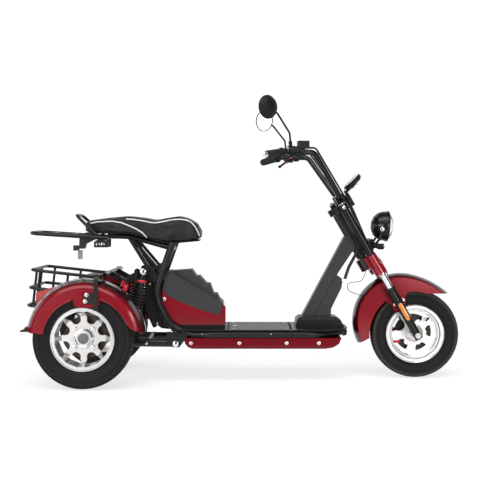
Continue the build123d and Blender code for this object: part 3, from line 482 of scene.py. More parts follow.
def hose(name, points, radius, material, body, order=3, sides=6, cyclic=False):
    """A round cord on one smooth curve."""
    curve = bpy.data.curves.new(name, "CURVE")
    curve.dimensions = "3D"
    curve.bevel_depth = radius
    curve.bevel_resolution = sides // 2
    curve.resolution_u = 10
    curve.use_fill_caps = True
    spline = curve.splines.new("NURBS")
    spline.points.add(len(points) - 1)
    for knot, point in zip(spline.points, points):
        knot.co = (*point, 1)
    spline.order_u = order
    spline.use_endpoint_u = True
    spline.use_cyclic_u = cyclic
    temporary = bpy.data.objects.new(name, curve)
    scene.collection.objects.link(temporary)
    mesh = baked(temporary)
    bpy.data.objects.remove(temporary)
    return piece(name, shaded(mesh, math.radians(60)), material, body)


def prism(work, outline, place, depth, bevel=0.0):
    """Adds a bevelled plate: outline is (x, y) corners, depth its thickness along Z of place."""
    part = bmesh.new()
    lower = [part.verts.new((x, y, 0)) for x, y in outline]
    face = part.faces.new(lower)
    up = bmesh.ops.extrude_face_region(part, geom=[face])
    bmesh.ops.translate(part, verts=[v for v in up["geom"] if isinstance(v, bmesh.types.BMVert)],
                        vec=(0, 0, depth))
    bmesh.ops.recalc_face_normals(part, faces=part.faces)
    if bevel:
        bmesh.ops.bevel(part, geom=part.edges[:], offset=bevel, segments=2, profile=0.6, affect="EDGES")
    bmesh.ops.transform(part, matrix=place, verts=part.verts)
    mesh = bpy.data.meshes.new("part")
    part.to_mesh(mesh)
    part.free()
    work.from_mesh(mesh)
    bpy.data.meshes.remove(mesh)


def plate(name, outline, place, depth, material, body, bevel=0.0008):
    work = bmesh.new()
    prism(work, outline, place, depth, bevel)
    return piece(name, from_bmesh(name, work), material, body)


# ------------------------------------------------------------------ geometry node trees


def node_tree(name, sizes):
    """An empty geometry tree with named inputs; returns the tree, its input and output nodes."""
    tree = bpy.data.node_groups.new(name, "GeometryNodeTree")
    tree.interface.new_socket("Geometry", in_out="INPUT", socket_type="NodeSocketGeometry")
    for label, kind, value in sizes:
        socket = tree.interface.new_socket(label, in_out="INPUT", socket_type=kind)
        if value is not None:
            socket.default_value = value
    tree.interface.new_socket("Geometry", in_out="OUTPUT", socket_type="NodeSocketGeometry")
    return tree, tree.nodes.new("NodeGroupInput"), tree.nodes.new("NodeGroupOutput")


def wire(tree, *links):
    for source, target in links:
        tree.links.new(source, target)


def finish_tree(tree, start, end, geometry):
    """Ends a tree in real, painted geometry."""
    real = tree.nodes.new("GeometryNodeRealizeInstances")
    paint = tree.nodes.new("GeometryNodeSetMaterial")
    wire(tree, (geometry, real.inputs[0]), (real.outputs[0], paint.inputs["Geometry"]),
         (start.outputs["Material"], paint.inputs["Material"]), (paint.outputs[0], end.inputs[0]))


def studs_tree():
    """One copy of an object at each point, standing along the point's normal."""
    tree, start, end = node_tree("studs",
                                 [("Stud", "NodeSocketObject", None),
                                  ("Material", "NodeSocketMaterial", None)])
    info = tree.nodes.new("GeometryNodeObjectInfo")
    normal = tree.nodes.new("GeometryNodeInputNamedAttribute")
    normal.data_type = "FLOAT_VECTOR"
    normal.inputs["Name"].default_value = "stand"
    aim = tree.nodes.new("FunctionNodeAlignRotationToVector")
    aim.axis = "Z"
    put = tree.nodes.new("GeometryNodeInstanceOnPoints")
    wire(tree, (start.outputs["Stud"], info.inputs["Object"]),
         (normal.outputs["Attribute"], aim.inputs["Vector"]),
         (start.outputs["Geometry"], put.inputs["Points"]),
         (info.outputs["Geometry"], put.inputs["Instance"]),
         (aim.outputs["Rotation"], put.inputs["Rotation"]))
    finish_tree(tree, start, end, put.outputs["Instances"])
    return tree


def round_tree():
    """Copies of the piece turned round an axle that lies along Y."""
    tree, start, end = node_tree("round_axle", [
        ("Count", "NodeSocketInt", 12), ("Axle", "NodeSocketVector", (0, 0, 0)),
        ("First", "NodeSocketFloat", 0.0),
        ("Material", "NodeSocketMaterial", None)])
    points = tree.nodes.new("GeometryNodePoints")
    index = tree.nodes.new("GeometryNodeInputIndex")
    share = tree.nodes.new("ShaderNodeMath")
    share.operation = "DIVIDE"
    angle = tree.nodes.new("ShaderNodeMath")
    angle.operation = "MULTIPLY_ADD"
    angle.inputs[1].default_value = 2 * math.pi
    turn = tree.nodes.new("ShaderNodeCombineXYZ")
    put = tree.nodes.new("GeometryNodeInstanceOnPoints")
    move = tree.nodes.new("GeometryNodeTransform")
    wire(tree, (start.outputs["Count"], points.inputs["Count"]), (index.outputs[0], share.inputs[0]),
         (start.outputs["Count"], share.inputs[1]), (share.outputs[0], angle.inputs[0]),
         (start.outputs["First"], angle.inputs[2]), (angle.outputs[0], turn.inputs["Y"]),
         (points.outputs[0], put.inputs["Points"]), (start.outputs["Geometry"], put.inputs["Instance"]),
         (turn.outputs[0], put.inputs["Rotation"]), (put.outputs[0], move.inputs["Geometry"]),
         (start.outputs["Axle"], move.inputs["Translation"]))
    finish_tree(tree, start, end, move.outputs[0])
    return tree


def coil_tree():
    """A wire wound round Z between two heights, its ends closed up."""
    tree, start, end = node_tree("coil", [
        ("Turns", "NodeSocketFloat", 8.0), ("Radius", "NodeSocketFloat", 0.02),
        ("Length", "NodeSocketFloat", 0.15),
        ("Wire", "NodeSocketFloat", 0.003), ("Material", "NodeSocketMaterial", None)])
    spiral = tree.nodes.new("GeometryNodeCurveSpiral")
    spiral.inputs["Resolution"].default_value = 24
    section = tree.nodes.new("GeometryNodeCurvePrimitiveCircle")
    section.inputs["Resolution"].default_value = 8
    skin = tree.nodes.new("GeometryNodeCurveToMesh")
    skin.inputs["Fill Caps"].default_value = True
    wire(tree, (start.outputs["Turns"], spiral.inputs["Rotations"]),
         (start.outputs["Radius"], spiral.inputs["Start Radius"]),
         (start.outputs["Radius"], spiral.inputs["End Radius"]),
         (start.outputs["Length"], spiral.inputs["Height"]),
         (start.outputs["Wire"], section.inputs["Radius"]), (spiral.outputs["Curve"], skin.inputs["Curve"]),
         (section.outputs["Curve"], skin.inputs["Profile Curve"]))
    finish_tree(tree, start, end, skin.outputs[0])
    return tree


def stitch_tree():
    """Short stitches laid along a curve."""
    tree, start, end = node_tree("stitches", [
        ("Pitch", "NodeSocketFloat", 0.006), ("Thread", "NodeSocketFloat", 0.0006),
        ("Material", "NodeSocketMaterial", None)])
    resample = tree.nodes.new("GeometryNodeResampleCurve")
    resample.mode = "LENGTH"
    tangent = tree.nodes.new("GeometryNodeInputTangent")
    aim = tree.nodes.new("FunctionNodeAlignRotationToVector")
    aim.axis = "Z"
    thread = tree.nodes.new("GeometryNodeMeshCylinder")
    thread.inputs["Vertices"].default_value = 5
    length = tree.nodes.new("ShaderNodeMath")
    length.operation = "MULTIPLY"
    length.inputs[1].default_value = 0.68
    put = tree.nodes.new("GeometryNodeInstanceOnPoints")
    wire(tree, (start.outputs["Geometry"], resample.inputs["Curve"]),
         (start.outputs["Pitch"], resample.inputs["Length"]),
         (tangent.outputs[0], aim.inputs["Vector"]), (start.outputs["Thread"], thread.inputs["Radius"]),
         (start.outputs["Pitch"], length.inputs[0]), (length.outputs[0], thread.inputs["Depth"]),
         (resample.outputs[0], put.inputs["Points"]), (thread.outputs[0], put.inputs["Instance"]),
         (aim.outputs["Rotation"], put.inputs["Rotation"]))
    finish_tree(tree, start, end, put.outputs["Instances"])
    return tree


studs, round_axle, coil, stitches = studs_tree(), round_tree(), coil_tree(), stitch_tree()


def grown(name, base, tree, sizes, material, body, angle=math.radians(35)):
    """Runs a geometry tree on a base datablock and keeps the result as a plain piece."""
    temporary = bpy.data.objects.new(name + "_base", base)
    scene.collection.objects.link(temporary)
    modifier = temporary.modifiers.new("grow", "NODES")
    modifier.node_group = tree
    keys = {item.name: item.identifier for item in tree.interface.items_tree if item.in_out == "INPUT"}
    for label, value in {**sizes, "Material": material}.items():
        modifier[keys[label]] = value
    mesh = baked(temporary)
    bpy.data.objects.remove(temporary)
    mesh.name = name
    return piece(name, shaded(mesh, angle), material, body)


def point_cloud(name, places):
    """A mesh of loose points that know which way a stud stands."""
    mesh = bpy.data.meshes.new(name)
    mesh.from_pydata([tuple(p) for p, _ in places], [], [])
    stand = mesh.attributes.new("stand", "FLOAT_VECTOR", "POINT")
    for datum, (_, normal) in zip(stand.data, places):
        datum.vector = Vector(normal).normalized()
    return mesh


def fastener(name, head, height, kind="hex", washer=1.35):
    """One fastener standing on Z = 0: a hexagon, a domed socket head or a round cap, on its washer."""
    work = bmesh.new()
    thick = height * 0.22
    place = Matrix.Identity(4)
    if washer:
        lathe(work, [(0, 0), (head * washer, 0), (head * washer, thick * 0.8),
                     (head * washer - thick * 0.3, thick), (0, thick)],
              place, 20)
    if kind == "hex":
        outline = [(head * math.cos(math.pi * i / 3), head * math.sin(math.pi * i / 3)) for i in range(6)]
        prism(work, outline, Matrix.Translation((0, 0, thick)), height - thick, height * 0.12)
        lathe(work, [(0, height - thick * 0.5), (head * 0.5, height - thick * 0.5),
                     (head * 0.5, height + thick), (0, height + thick * 1.2)],
              place, 12)
    elif kind == "socket":
        lathe(work, [(head, thick * 0.5), (head, height * 0.5), (head * 0.82, height * 0.86),
                     (head * 0.5, height),
                     (head * 0.46, height), (head * 0.44, height * 0.45), (0, height * 0.45)], place, 18)
    else:
        lathe(work, [(head, thick * 0.5), (head, height * 0.6), (head * 0.86, height * 0.9),
                     (head * 0.6, height), (0, height)],
              place, 20)
    return bpy.data.objects.new(name, from_bmesh(name, work))


def fasten(name, places, head, height, material, body, kind="hex", washer=1.35):
    """The same fastener at every place of a list of (point, normal)."""
    model = fastener(name + "_model", head, height, kind, washer)
    made = grown(name, point_cloud(name + "_points", places), studs, {"Stud": model}, material, body)
    bpy.data.objects.remove(model)
    return made


def both_sides(points):
    """Places on the right-hand side and their mirror images, as (point, normal) pairs."""
    made = []
    for point in points:
        made.append((point, (0, -1, 0)))
        made.append((Vector((point.x, -point.y, point.z)), (0, 1, 0)))
    return made


# ------------------------------------------------------------------ finishes on the frame's own parts

paints = {
    "main_frame": black_paint, "seat_subframe": black_paint, "neck": neck_paint, "belly_pan": pan_red,
    "battery_pack": black_plastic, "footboard": deck_plastic, "nose_cover": deck_plastic,
    "fairing": body_red,
    "fairing_cover": cover_plastic, "rear_shell": black_plastic, "swing_arm": black_paint,
    "pivot_plates": black_paint,
    "rear_axle": black_paint, "drive_motor": motor_alloy, "shocks": slider_paint,
    "rear_fender_right": rear_fender_red_painted_shade,
    "rear_fender_left": rear_fender_red_painted_shade, "fender_stays": black_paint, "tail_lamps": red_lens,
    "cargo_basket": black_paint,
    "basket_brackets": black_paint, "top_rack": black_paint, "grab_hoop": black_paint,
    "seat_lock": lock_paint,
    "seat_pan": black_plastic, "frame_loom": loom_hose, "deck_lid": mat_rubber,
    "fork_sliders": slider_paint,
    "fork_stanchions": chrome, "fork_covers": slider_paint, "lower_clamp": clamp_red_painted_shadow,
    "top_clamp": black_paint,
    "handlebar": slider_paint, "bar_ends": chrome, "bar_controls": black_plastic,
    "brake_levers": black_paint,
    "mirrors": black_plastic, "mirror_glass": mirror_face, "display": black_plastic,
    "headlight": slider_paint,
    "headlight_bracket": black_paint, "turn_signals": black_plastic, "fork_reflectors": slider_paint,
    "front_fender": front_fender_red_painted_shade,
    "front_caliper": reservoir_red, "front_axle": zinc, "looms": loom_hose, "front_rim": front_alloy,
    "front_disc": disc_steel,
    "rear_rim_right": rear_alloy, "rear_disc_right": rear_disc_steel, "rear_rim_left": rear_alloy,
    "rear_disc_left": rear_disc_steel,
}
for name, material in paints.items():
    node = nodes[name]
    node.data.materials.clear()
    node.data.materials.append(material)

# ------------------------------------------------------------------ tyres


def crown_height(y, half, radius, drop):
    """How high the tread stands at y across the tyre."""
    return radius - drop * abs(y / half) ** 2.4


def tyre_body(name, radius, half, flange, flange_side, hub, material, body, node):
    """A tyre's carcass with ribs on its wall, rising from the rim's flange; its tread is another piece."""
    carcass = radius - 0.0055
    foot = flange + 0.0012
    wall = []
    for t in range(0, 13):
        a = t / 12
        bulge = math.sin(math.pi * min(1.0, 0.5 * a ** 0.55 + 0.02 * a)) if a < 0.85 else 1.0
        wall.append((foot + (carcass - 0.011 - foot) * a,
                     flange_side - 0.0012 + (half * 0.994 - flange_side + 0.0012) * bulge))
    rib = 0.0009
    ribbed = []
    for i, (r, y) in enumerate(wall):
        ribbed.append((r, y))
        if i in (2, 8, 9):
            ribbed += [(r + 0.0008, y + rib), (r + 0.0026, y + rib), (r + 0.0034, y)]
    tread = [(crown_height(y, half, carcass, 0.006), y) for y in (half * k / 8 for k in range(7, -8, -1))]
    inner = [(flange - 0.008, flange_side - 0.012), (flange - 0.0005, flange_side - 0.0045)]
    profile = inner + ribbed + tread + [(r, -y) for r, y in reversed(inner + ribbed)]
    work = bmesh.new()
    lathe(work, profile, facing(hub, (0, 1, 0)), 96, True)
    item = piece(name, from_bmesh(name, work, math.radians(40)), material, body)
    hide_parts(node)
    return item


def tread_block(work, radius, half, y0, y1, a0, a1, skew, drop=0.006, sink=0.006):
    """Adds one block between two widths and two angles, following the crown."""
    rows = []
    for k in range(3):
        y = y0 + (y1 - y0) * k / 2
        lean = skew * (y / half)
        rows.append([(crown_height(y, half, radius, drop) - low, y, a + lean)
                     for low in (0.0, sink) for a in (a0, a1)])
    verts = [[work.verts.new((r * math.sin(a), y, r * math.cos(a))) for r, y, a in row] for row in rows]
    for low, high in zip(verts, verts[1:]):
        work.faces.new((low[0], low[1], high[1], high[0]))
        work.faces.new((low[2], low[0], high[0], high[2]))
        work.faces.new((low[1], low[3], high[3], high[1]))
    for row in (verts[0], verts[-1]):
        work.faces.new((row[0], row[1], row[3], row[2]))


def shoulder_lugs(name, radius, half, count, hub, material, body):
    """Short radial ridges where the tread meets the wall, repeated round the tyre."""
    work = bmesh.new()
    for side in (-1, 1):
        for top, foot, turn in ((0.0, 0.013, 0.35), (0.002, 0.009, 0.8)):
            pitch = 2 * math.pi / count
            y = side * half
            a0, a1 = turn * pitch, (turn + 0.16) * pitch
            ring = [(radius - top, y * 0.955), (radius - foot, y * 1.004), (radius - foot, y * 0.95),
                    (radius - top, y * 0.9)]
            near = [work.verts.new((r * math.sin(a0), w, r * math.cos(a0))) for r, w in ring]
            far = [work.verts.new((r * math.sin(a1 + 0.05 * pitch), w,
                                   r * math.cos(a1 + 0.05 * pitch))) for r, w in ring]
            for k in range(4):
                work.faces.new((near[k], near[(k + 1) % 4], far[(k + 1) % 4], far[k]))
            work.faces.new(near[::-1])
            work.faces.new(far)
    base = from_bmesh(name + "_unit", work)
    return grown(name, base, round_axle, {"Count": count, "Axle": tuple(hub), "First": 0.0}, material, body)


def tread(name, radius, half, count, hub, material, body):
    """Tread of centre bars, zigzag lugs and shoulder blocks, repeated round the tyre."""
    pitch = 2 * math.pi / count
    work = bmesh.new()
    blocks = [
        (-0.1, 0.1, 0.03, 0.9, 0.0), (0.15, 0.42, 0.1, 0.86, 0.7), (-0.42, -0.15, 0.4, 1.16, -0.7),
        (0.47, 0.71, -0.1, 0.6, 0.5), (-0.71, -0.47, 0.25, 0.95, -0.5),
        (0.75, 0.97, 0.08, 0.46, 0.25), (0.75, 0.97, 0.56, 0.92, 0.25),
        (-0.97, -0.75, 0.08, 0.46, -0.25), (-0.97, -0.75, 0.56, 0.92, -0.25),
    ]
    for y0, y1, a0, a1, skew in blocks:
        tread_block(work, radius, half, y0 * half, y1 * half, a0 * pitch, a1 * pitch, skew * pitch)
    base = from_bmesh(name + "_unit", work)
    return grown(name, base, round_axle, {"Count": count, "Axle": tuple(hub), "First": 0.0}, material, body)


tyre_body("front_tyre_body", front_tyre_radius, 0.048, front_flange, 0.038, front_axle, front_rubber,
          "front_wheel", "front_tyre")
tread("front_tread", 0.2068, 0.046, 60, front_axle, front_rubber, "front_wheel")
shoulder_lugs("front_shoulder", 0.1995, 0.0484, 72, front_axle, lug_rubber, "front_wheel")
for word, hub in (("right", rear_axle_right), ("left", rear_axle_left)):
    tyre_body(f"rear_tyre_body_{word}", rear_tyre_radius, 0.0676, rear_flange, 0.057, hub, rear_rubber,
              f"rear_wheel_{word}", f"rear_tyre_{word}")
    tread(f"rear_tread_{word}", 0.2218, 0.065, 56, hub, rear_rubber, f"rear_wheel_{word}")

# ------------------------------------------------------------------ wheels

for word, hub, out in (("right", rear_axle_right, -1), ("left", rear_axle_left, 1)):
    body = f"rear_wheel_{word}"
    face = 0.057 - 0.046
    hub_face = hub + Vector((0, out * face, 0))
    look = (0, out, 0)
    turned(f"hub_ring_{word}",
           [(0.0335, 0.008), (0.0335, 0.0135), (0.0365, 0.0155), (0.041, 0.0145), (0.0435, 0.011),
                                (0.0435, 0.008)], facing(hub_face, look), chrome, body, 48,
           True)
    turned(f"hub_cap_{word}",
           [(0, 0.0185), (0.012, 0.0185), (0.0225, 0.0172), (0.0265, 0.0145), (0.0265, 0.012), (0, 0.012)],
           facing(hub_face, look), hub_grey, body, 40)
    nuts = []
    for i in range(4):
        a = math.radians(45 + 90 * i)
        nuts.append((hub_face + Vector((0.057 * math.cos(a), out * 0.0055, 0.057 * math.sin(a))), look))
    fasten(f"wheel_nuts_{word}", nuts, 0.0078, 0.011, chrome, body)
    turned(f"rim_lip_{word}",
           [(0.1355, 0.0), (0.1375, 0.0022), (0.1405, 0.0022), (0.142, 0.0004), (0.142, -0.002),
                                     (0.1355, -0.002)], facing(hub + Vector((0, out * 0.0572, 0)), look),
           chrome, body,
                 96, True)
    stem = hub + Vector((0.112, out * 0.046, 0.028))
    hose(f"valve_{word}",
         [stem, stem + Vector((-0.006, out * 0.01, -0.002)), stem + Vector((-0.014, out * 0.018, -0.004))],
         0.0035, black_rubber, body)

turned("front_rim_lip",
       [(0.1315, 0.0), (0.1335, 0.002), (0.1365, 0.002), (0.138, 0.0004), (0.138, -0.002),
        (0.1315, -0.002)],
       facing(front_axle + Vector((0, -0.0382, 0)), (0, -1, 0)), chrome, "front_wheel", 96,
       True)
turned("front_rim_step",
       [(0.108, 0.004), (0.1115, 0.0065), (0.1145, 0.0065), (0.117, 0.003), (0.117, 0.0), (0.108, 0.0)],
       facing(front_axle + Vector((0, -0.0195, 0)), (0, -1, 0)), front_alloy, "front_wheel",
       96, True)
turned("front_hub_ring", [(0.014, 0.0), (0.014, 0.004), (0.021, 0.0055), (0.0255, 0.0025), (0.0255, 0.0)],
       facing(front_axle + Vector((0, -0.018, 0)), (0, -1, 0)), chrome, "front_wheel", 40,
       True)
valve_foot = front_axle + Vector((0.097 * math.cos(math.radians(47)), -0.021,
                                  0.097 * math.sin(math.radians(47))))
hose("front_valve", [valve_foot, valve_foot + Vector((-0.004, -0.012, -0.002)),
                     valve_foot + Vector((-0.015, -0.022, -0.009))],
     0.0048, black_rubber, "front_wheel")
disc_bolts = []
for i in range(5):
    a = math.radians(36 + 72 * i)
    disc_bolts.append((front_axle + Vector((0.024 * math.cos(a), 0.038, 0.024 * math.sin(a))), (0, 1, 0)))
fasten("front_disc_bolts", disc_bolts, 0.0045, 0.005, zinc, "front_wheel", "socket")

# ------------------------------------------------------------------ suspension springs

springs = []
for side, word in ((-1, "right"), (1, "left")):
    for number, (shift, y) in enumerate(((0, 190), (-30, 160))):
        top = Vector(from_rear(248 + shift, side * y, 508))
        foot = Vector(from_rear(215 + shift, side * y, 250))
        springs.append((word, number, foot + (top - foot) * 0.145, foot + (top - foot) * 0.815))
for word, number, low, high in springs:
    sizes = {"Turns": 12.0, "Radius": 0.0182, "Length": (high - low).length, "Wire": 0.0027}
    made = grown(f"spring_{word}_{number}", bpy.data.meshes.new("coil_base"), coil, sizes, spring_black,
                 "frame",
                 math.radians(60))
    made.data.transform(facing(low, high - low))
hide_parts("springs")
for word, number, low, high in springs:
    collar = [(0.0134, 0.0), (0.0222, 0.0), (0.0226, 0.002), (0.0226, 0.007), (0.0222, 0.009),
              (0.0134, 0.009)]
    turned(f"preload_collar_{word}_{number}", collar,
           facing(high + (high - low).normalized() * 0.0005, high - low),
           reservoir_red, "frame", 32, True)
for number, (a, b) in enumerate((((166, 190, 422), (176, 190, 468)), ((151, 160, 438), (158, 160, 470)))):
    for side in (-1, 1):
        word = "right" if side < 0 else "left"
        low, high = from_rear(a[0], side * a[1], a[2]), from_rear(b[0], side * b[1], b[2])
        turned(f"reservoir_{word}_{number}",
               [(0, -0.0005), (0.0095, -0.0005), (0.0096, 0.003), (0.0096, 0.026), (0.0091, 0.027),
                                             (0.0091, 0.028), (0.0096, 0.029), (0.0096, 0.0305),
                (0, 0.0305)],
               facing(low, high - low), reservoir_red, "frame", 28)

# ------------------------------------------------------------------ fasteners of the frame

fasten("pan_screws", both_sides([Vector((x, -0.163, 0.178)) for x in (-0.252, -0.03, 0.187, 0.335)]),
       0.0052, 0.0055, zinc,
       "frame", "socket", 1.6)
fasten("pivot_bolts", both_sides([Vector((rear_axle_right.x + 0.395, -0.176, 0.176))]), 0.0125, 0.009,
       chrome, "frame", "cap", 1.1)
fasten("fairing_screws", both_sides([Vector((-0.380, -0.104, 0.376))]), 0.0055, 0.005, zinc, "frame",
       "socket", 1.6)
fasten("shell_screws", both_sides([Vector((-0.446, -0.102, 0.447)), Vector((-0.412, -0.102, 0.262))]),
       0.0042, 0.0035, zinc,
       "frame", "socket", 1.2)
fasten("shock_bolts", both_sides([from_rear(248, -204, 508)]), 0.0115, 0.009, chrome, "frame",
       "cap", 1.25)
fasten("shock_foot_bolts", both_sides([from_rear(215, -204, 250)]), 0.008, 0.007, zinc, "frame")
fasten("fender_bracket_bolts", both_sides([from_rear(23, -409, 419), from_rear(17, -409, 391)]), 0.0062,
       0.006, zinc,
       "frame", "hex", 1.5)
fasten("neck_screws", both_sides([Vector((0.455, -0.036, 0.460))]), 0.0055, 0.0045, chrome, "frame",
       "cap", 1.0)
fasten("deck_screws", both_sides([Vector((x, -0.1745, 0.222)) for x in (-0.2, 0.115)]), 0.0032, 0.0016,
       zinc, "frame", "cap", 0)
lid_low, lid_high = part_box("deck_lid")
lid_screws = [(Vector((x, y, lid_high[2])), (0, 0, 1)) for x in (lid_low[0] + 0.02,
                                                                 lid_high[0] - 0.02) for y in (-0.125,
                                                                                               0.125)]
fasten("lid_screws", lid_screws, 0.004, 0.0024, zinc, "deck_lid", "cap", 1.4)
rack_bolts = []
for x in (16, 58):
    rack_bolts.append((from_rear(x, -50, 652), (0, -1, 0)))
    rack_bolts.append((from_rear(x, 50, 652), (0, 1, 0)))
fasten("rack_plate_bolts", rack_bolts, 0.0042, 0.004, zinc, "frame", "hex", 1.3)

knob = from_rear(262, -158, 180)
turned("arm_knob", [(0, 0.026), (0.009, 0.026), (0.013, 0.022), (0.0135, 0.01), (0.009, 0.006),
                    (0.008, 0.0), (0, 0.0)],
       facing(knob, (0, -1, 0)), black_plastic, "frame", 14)
fasten("arm_knob_bolt", [(knob + Vector((0, -0.026, 0)), (0, -1, 0))], 0.005, 0.004, zinc, "frame")
for side, word in ((-1, "right"), (1, "left")):
    bar_end = from_rear(87, side * 300, 500)
    turned(f"cross_tube_mouth_{word}",
           [(0, 0.0002), (0.0085, 0.0002), (0.0085, 0.0008), (0.011, 0.0008), (0.011, 0.0)],
           facing(bar_end, (0, side, 0)), shadow_gap, "frame", 24)

# ------------------------------------------------------------------ panel lines, lid and deck


def groove(name, points, body, radius=0.0009):
    """A dark joint line laid on a surface."""
    return hose(name, points, radius, shadow_gap, body, 2, 4)


for side, word in ((-1, "right"), (1, "left")):
    y = side * 0.0362
    groove(f"neck_seam_{word}",
           [Vector((x, y, z)) for x, z in ((0.424, 0.482), (0.372, 0.384), (0.32, 0.29))], "frame")
    y = side * 0.1634
    groove(f"pan_seam_{word}", [Vector((0.2, y, 0.201)), Vector((0.2, y, 0.168))], "frame")
    y = side * 0.1752
    for x in (-0.08, 0.222):
        groove(f"deck_seam_{word}_{round(x * 1000)}", [Vector((x, y, 0.2355)), Vector((x, y, 0.2412))],
               "frame", 0.0007)
for x in (-0.1, -0.085):
    groove(f"board_rib_{round(-x * 1000)}", [Vector((x, -0.172, 0.2411)), Vector((x, 0.172, 0.2411))],
           "frame", 0.0006)
turned("lid_lock", [(0, 0.0024), (0.004, 0.0024), (0.0045, 0.0018), (0.0095, 0.0018), (0.011, 0.0),
                    (0, 0.0)],
       facing(Vector((lid_low[0] + 0.028, 0, lid_high[2])), (0, 0, 1)), zinc, "deck_lid", 32)

# ------------------------------------------------------------------ fender beads and lips


def arc_points(centre_xz, radius, start, end, y, steps=36):
    return [Vector((centre_xz[0] + radius * math.cos(math.radians(a)), y,
                    centre_xz[1] + radius * math.sin(math.radians(a))))
            for a in (start + (end - start) * i / steps for i in range(steps + 1))]


fender_centre = (rear_axle_right.x + 0.010, rear_axle_right.z)


fender_section = [(405, 222), (398, 238), (383, 250), (350, 260), (320, 264.5), (275, 261.5), (241, 250),
                  (235, 238)]


def lip_line(section, angle, side):
    """Points across a rear fender at an angle round its centre; section is (y, radius) in millimetres."""
    return [Vector((fender_centre[0] + (r / 1000 - 0.001) * math.cos(angle), side * y / 1000 * 0.998,
                    fender_centre[1] + (r / 1000 - 0.001) * math.sin(angle))) for y, r in section]


def skirt_edge(start, end, y, steps=36):
    """Points along the lower edge of a rear fender's skirt, whose own centre is a little ahead."""
    made = []
    for i in range(steps + 1):
        a = math.radians(start + (end - start) * i / steps)
        ahead = 0.012 * math.cos(a) - 0.007 * math.sin(a)
        reach = max(0.1812, ahead + (ahead * ahead + 0.192 ** 2 - 0.000193) ** 0.5)
        made.append(Vector((fender_centre[0] + reach * math.cos(a), y,
                            fender_centre[1] + reach * math.sin(a))))
    return made


for side, word in ((-1, "right"), (1, "left")):
    corner = [Vector((fender_centre[0] + x, side * 0.4037, fender_centre[1] + z)) for x,
              z in ((0.222, 0.0432), (0.202, 0.0508), (0.1935, 0.063))]
    hose(f"fender_bead_{word}", corner + skirt_edge(21, 67, side * 0.4037), 0.0022, rear_fender_red_painted_shade,
         "frame", 3, 6)
    hose(f"fender_bead_rear_{word}", skirt_edge(108, 171.9, side * 0.4037), 0.0022, rear_fender_red_painted_shade,
         "frame", 3, 6)
    hose(f"fender_crease_{word}", arc_points(fender_centre, 0.2272, 9, 171, side * 0.4043), 0.0014,
         rear_fender_red_painted_shade, "frame", 3, 6)
    hose(f"fender_inner_bead_{word}", arc_points(fender_centre, 0.2172, 6.6, 171.9, side * 0.2365), 0.0022,
         rear_fender_red_painted_shade, "frame", 3, 6)
    hose(f"fender_tail_lip_{word}", lip_line(fender_section, fender_end, side), 0.003, rear_fender_red_painted_shade,
         "frame", 3, 6)
    hose(f"fender_nose_lip_{word}", lip_line(fender_section[2:], fender_start, side), 0.0026, body_red,
         "frame", 3, 6)

# ------------------------------------------------------------------ seat

seat_low, seat_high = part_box("seat")


def along(table, x):
    """A value read off a table of (x, value) pairs."""
    for (x0, v0), (x1, v1) in zip(table, table[1:]):
        if x <= x1:
            t = (x - x0) / (x1 - x0)
            return v0 + (v1 - v0) * max(0.0, min(1.0, t))
    return table[-1][1]


seat_under = [(-43, 690), (85, 692), (180, 689), (262, 666), (362, 645), (440, 648), (500, 656), (519, 664)]


def reshaped(item, modifiers):
    """Runs modifiers on a piece and keeps what they make."""
    for kind, settings in modifiers:
        modifier = item.modifiers.new(kind, kind)
        for key, value in settings.items():
            setattr(modifier, key, value)
    item.data = baked(item)
    item.modifiers.clear()
    return item.data


seat_cushion = bpy.data.objects.new("seat_cushion", nodes["seat"].data.copy())
scene.collection.objects.link(seat_cushion)
firm = reshaped(seat_cushion, [("REMESH", {"mode": "VOXEL", "voxel_size": 0.0055})])
firm_points = [vertex.co.copy() for vertex in firm.vertices]
soft = reshaped(seat_cushion, [("SMOOTH", {"factor": 0.5, "iterations": 16})])
soft_normals = [vertex.normal.copy() for vertex in soft.vertices]
for vertex, hard, normal in zip(soft.vertices, firm_points, soft_normals):
    x, z = (hard.x - rear_axle_right.x) * 1000, hard.z * 1000
    above = max(0.0, min(1.0, (z - along(seat_under, x) - 4) / 26))
    dent = math.exp(-((x - 330) / 62) ** 2 - ((z - 703) / 15) ** 2) * abs(normal.y)
    inward = Vector((normal.x, normal.y, max(normal.z, 0.0)))
    vertex.co = hard.lerp(vertex.co, above) - inward * (0.0034 + 0.0045 * dent)
start_points = [v.co.copy() for v in soft.vertices]
cloth = seat_cushion.modifiers.new("padding", "CLOTH")
cloth.settings.quality = 5
cloth.settings.mass = 0.3
cloth.settings.tension_stiffness = 22
cloth.settings.compression_stiffness = 22
cloth.settings.bending_stiffness = 1.2
cloth.settings.use_pressure = True
cloth.settings.uniform_pressure_force = 4
cloth.settings.effector_weights.gravity = 0
cloth.collision_settings.use_collision = False
cloth.point_cache.frame_start = 1
cloth.point_cache.frame_end = 20
for step in range(1, 21):
    scene.frame_set(step)
seat_cushion.data = puffed = baked(seat_cushion)
scene.frame_set(1)
seat_cushion.modifiers.clear()
cap = 0.006
for vertex, start in zip(puffed.vertices, start_points):
    move = vertex.co - start
    if move.length > cap:
        vertex.co = start + move.normalized() * cap
for vertex in seat_cushion.data.vertices:
    x = (vertex.co.x - rear_axle_right.x) * 1000
    vertex.co.z = max(vertex.co.z, along(seat_under, x) / 1000 - 0.004)
    vertex.co.x = min(max(vertex.co.x, seat_low[0]), seat_high[0])
final_seat = reshaped(seat_cushion,
                      [("SMOOTH", {"iterations": 2}), ("SUBSURF", {"levels": 1, "render_levels": 1})])
for polygon in final_seat.polygons:
    polygon.use_smooth = True
final_seat.materials.clear()
final_seat.materials.append(seat_vinyl)
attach(seat_cushion, "frame")
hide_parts("seat")
seat_surface = BVHTree.FromObject(seat_cushion, bpy.context.evaluated_depsgraph_get())


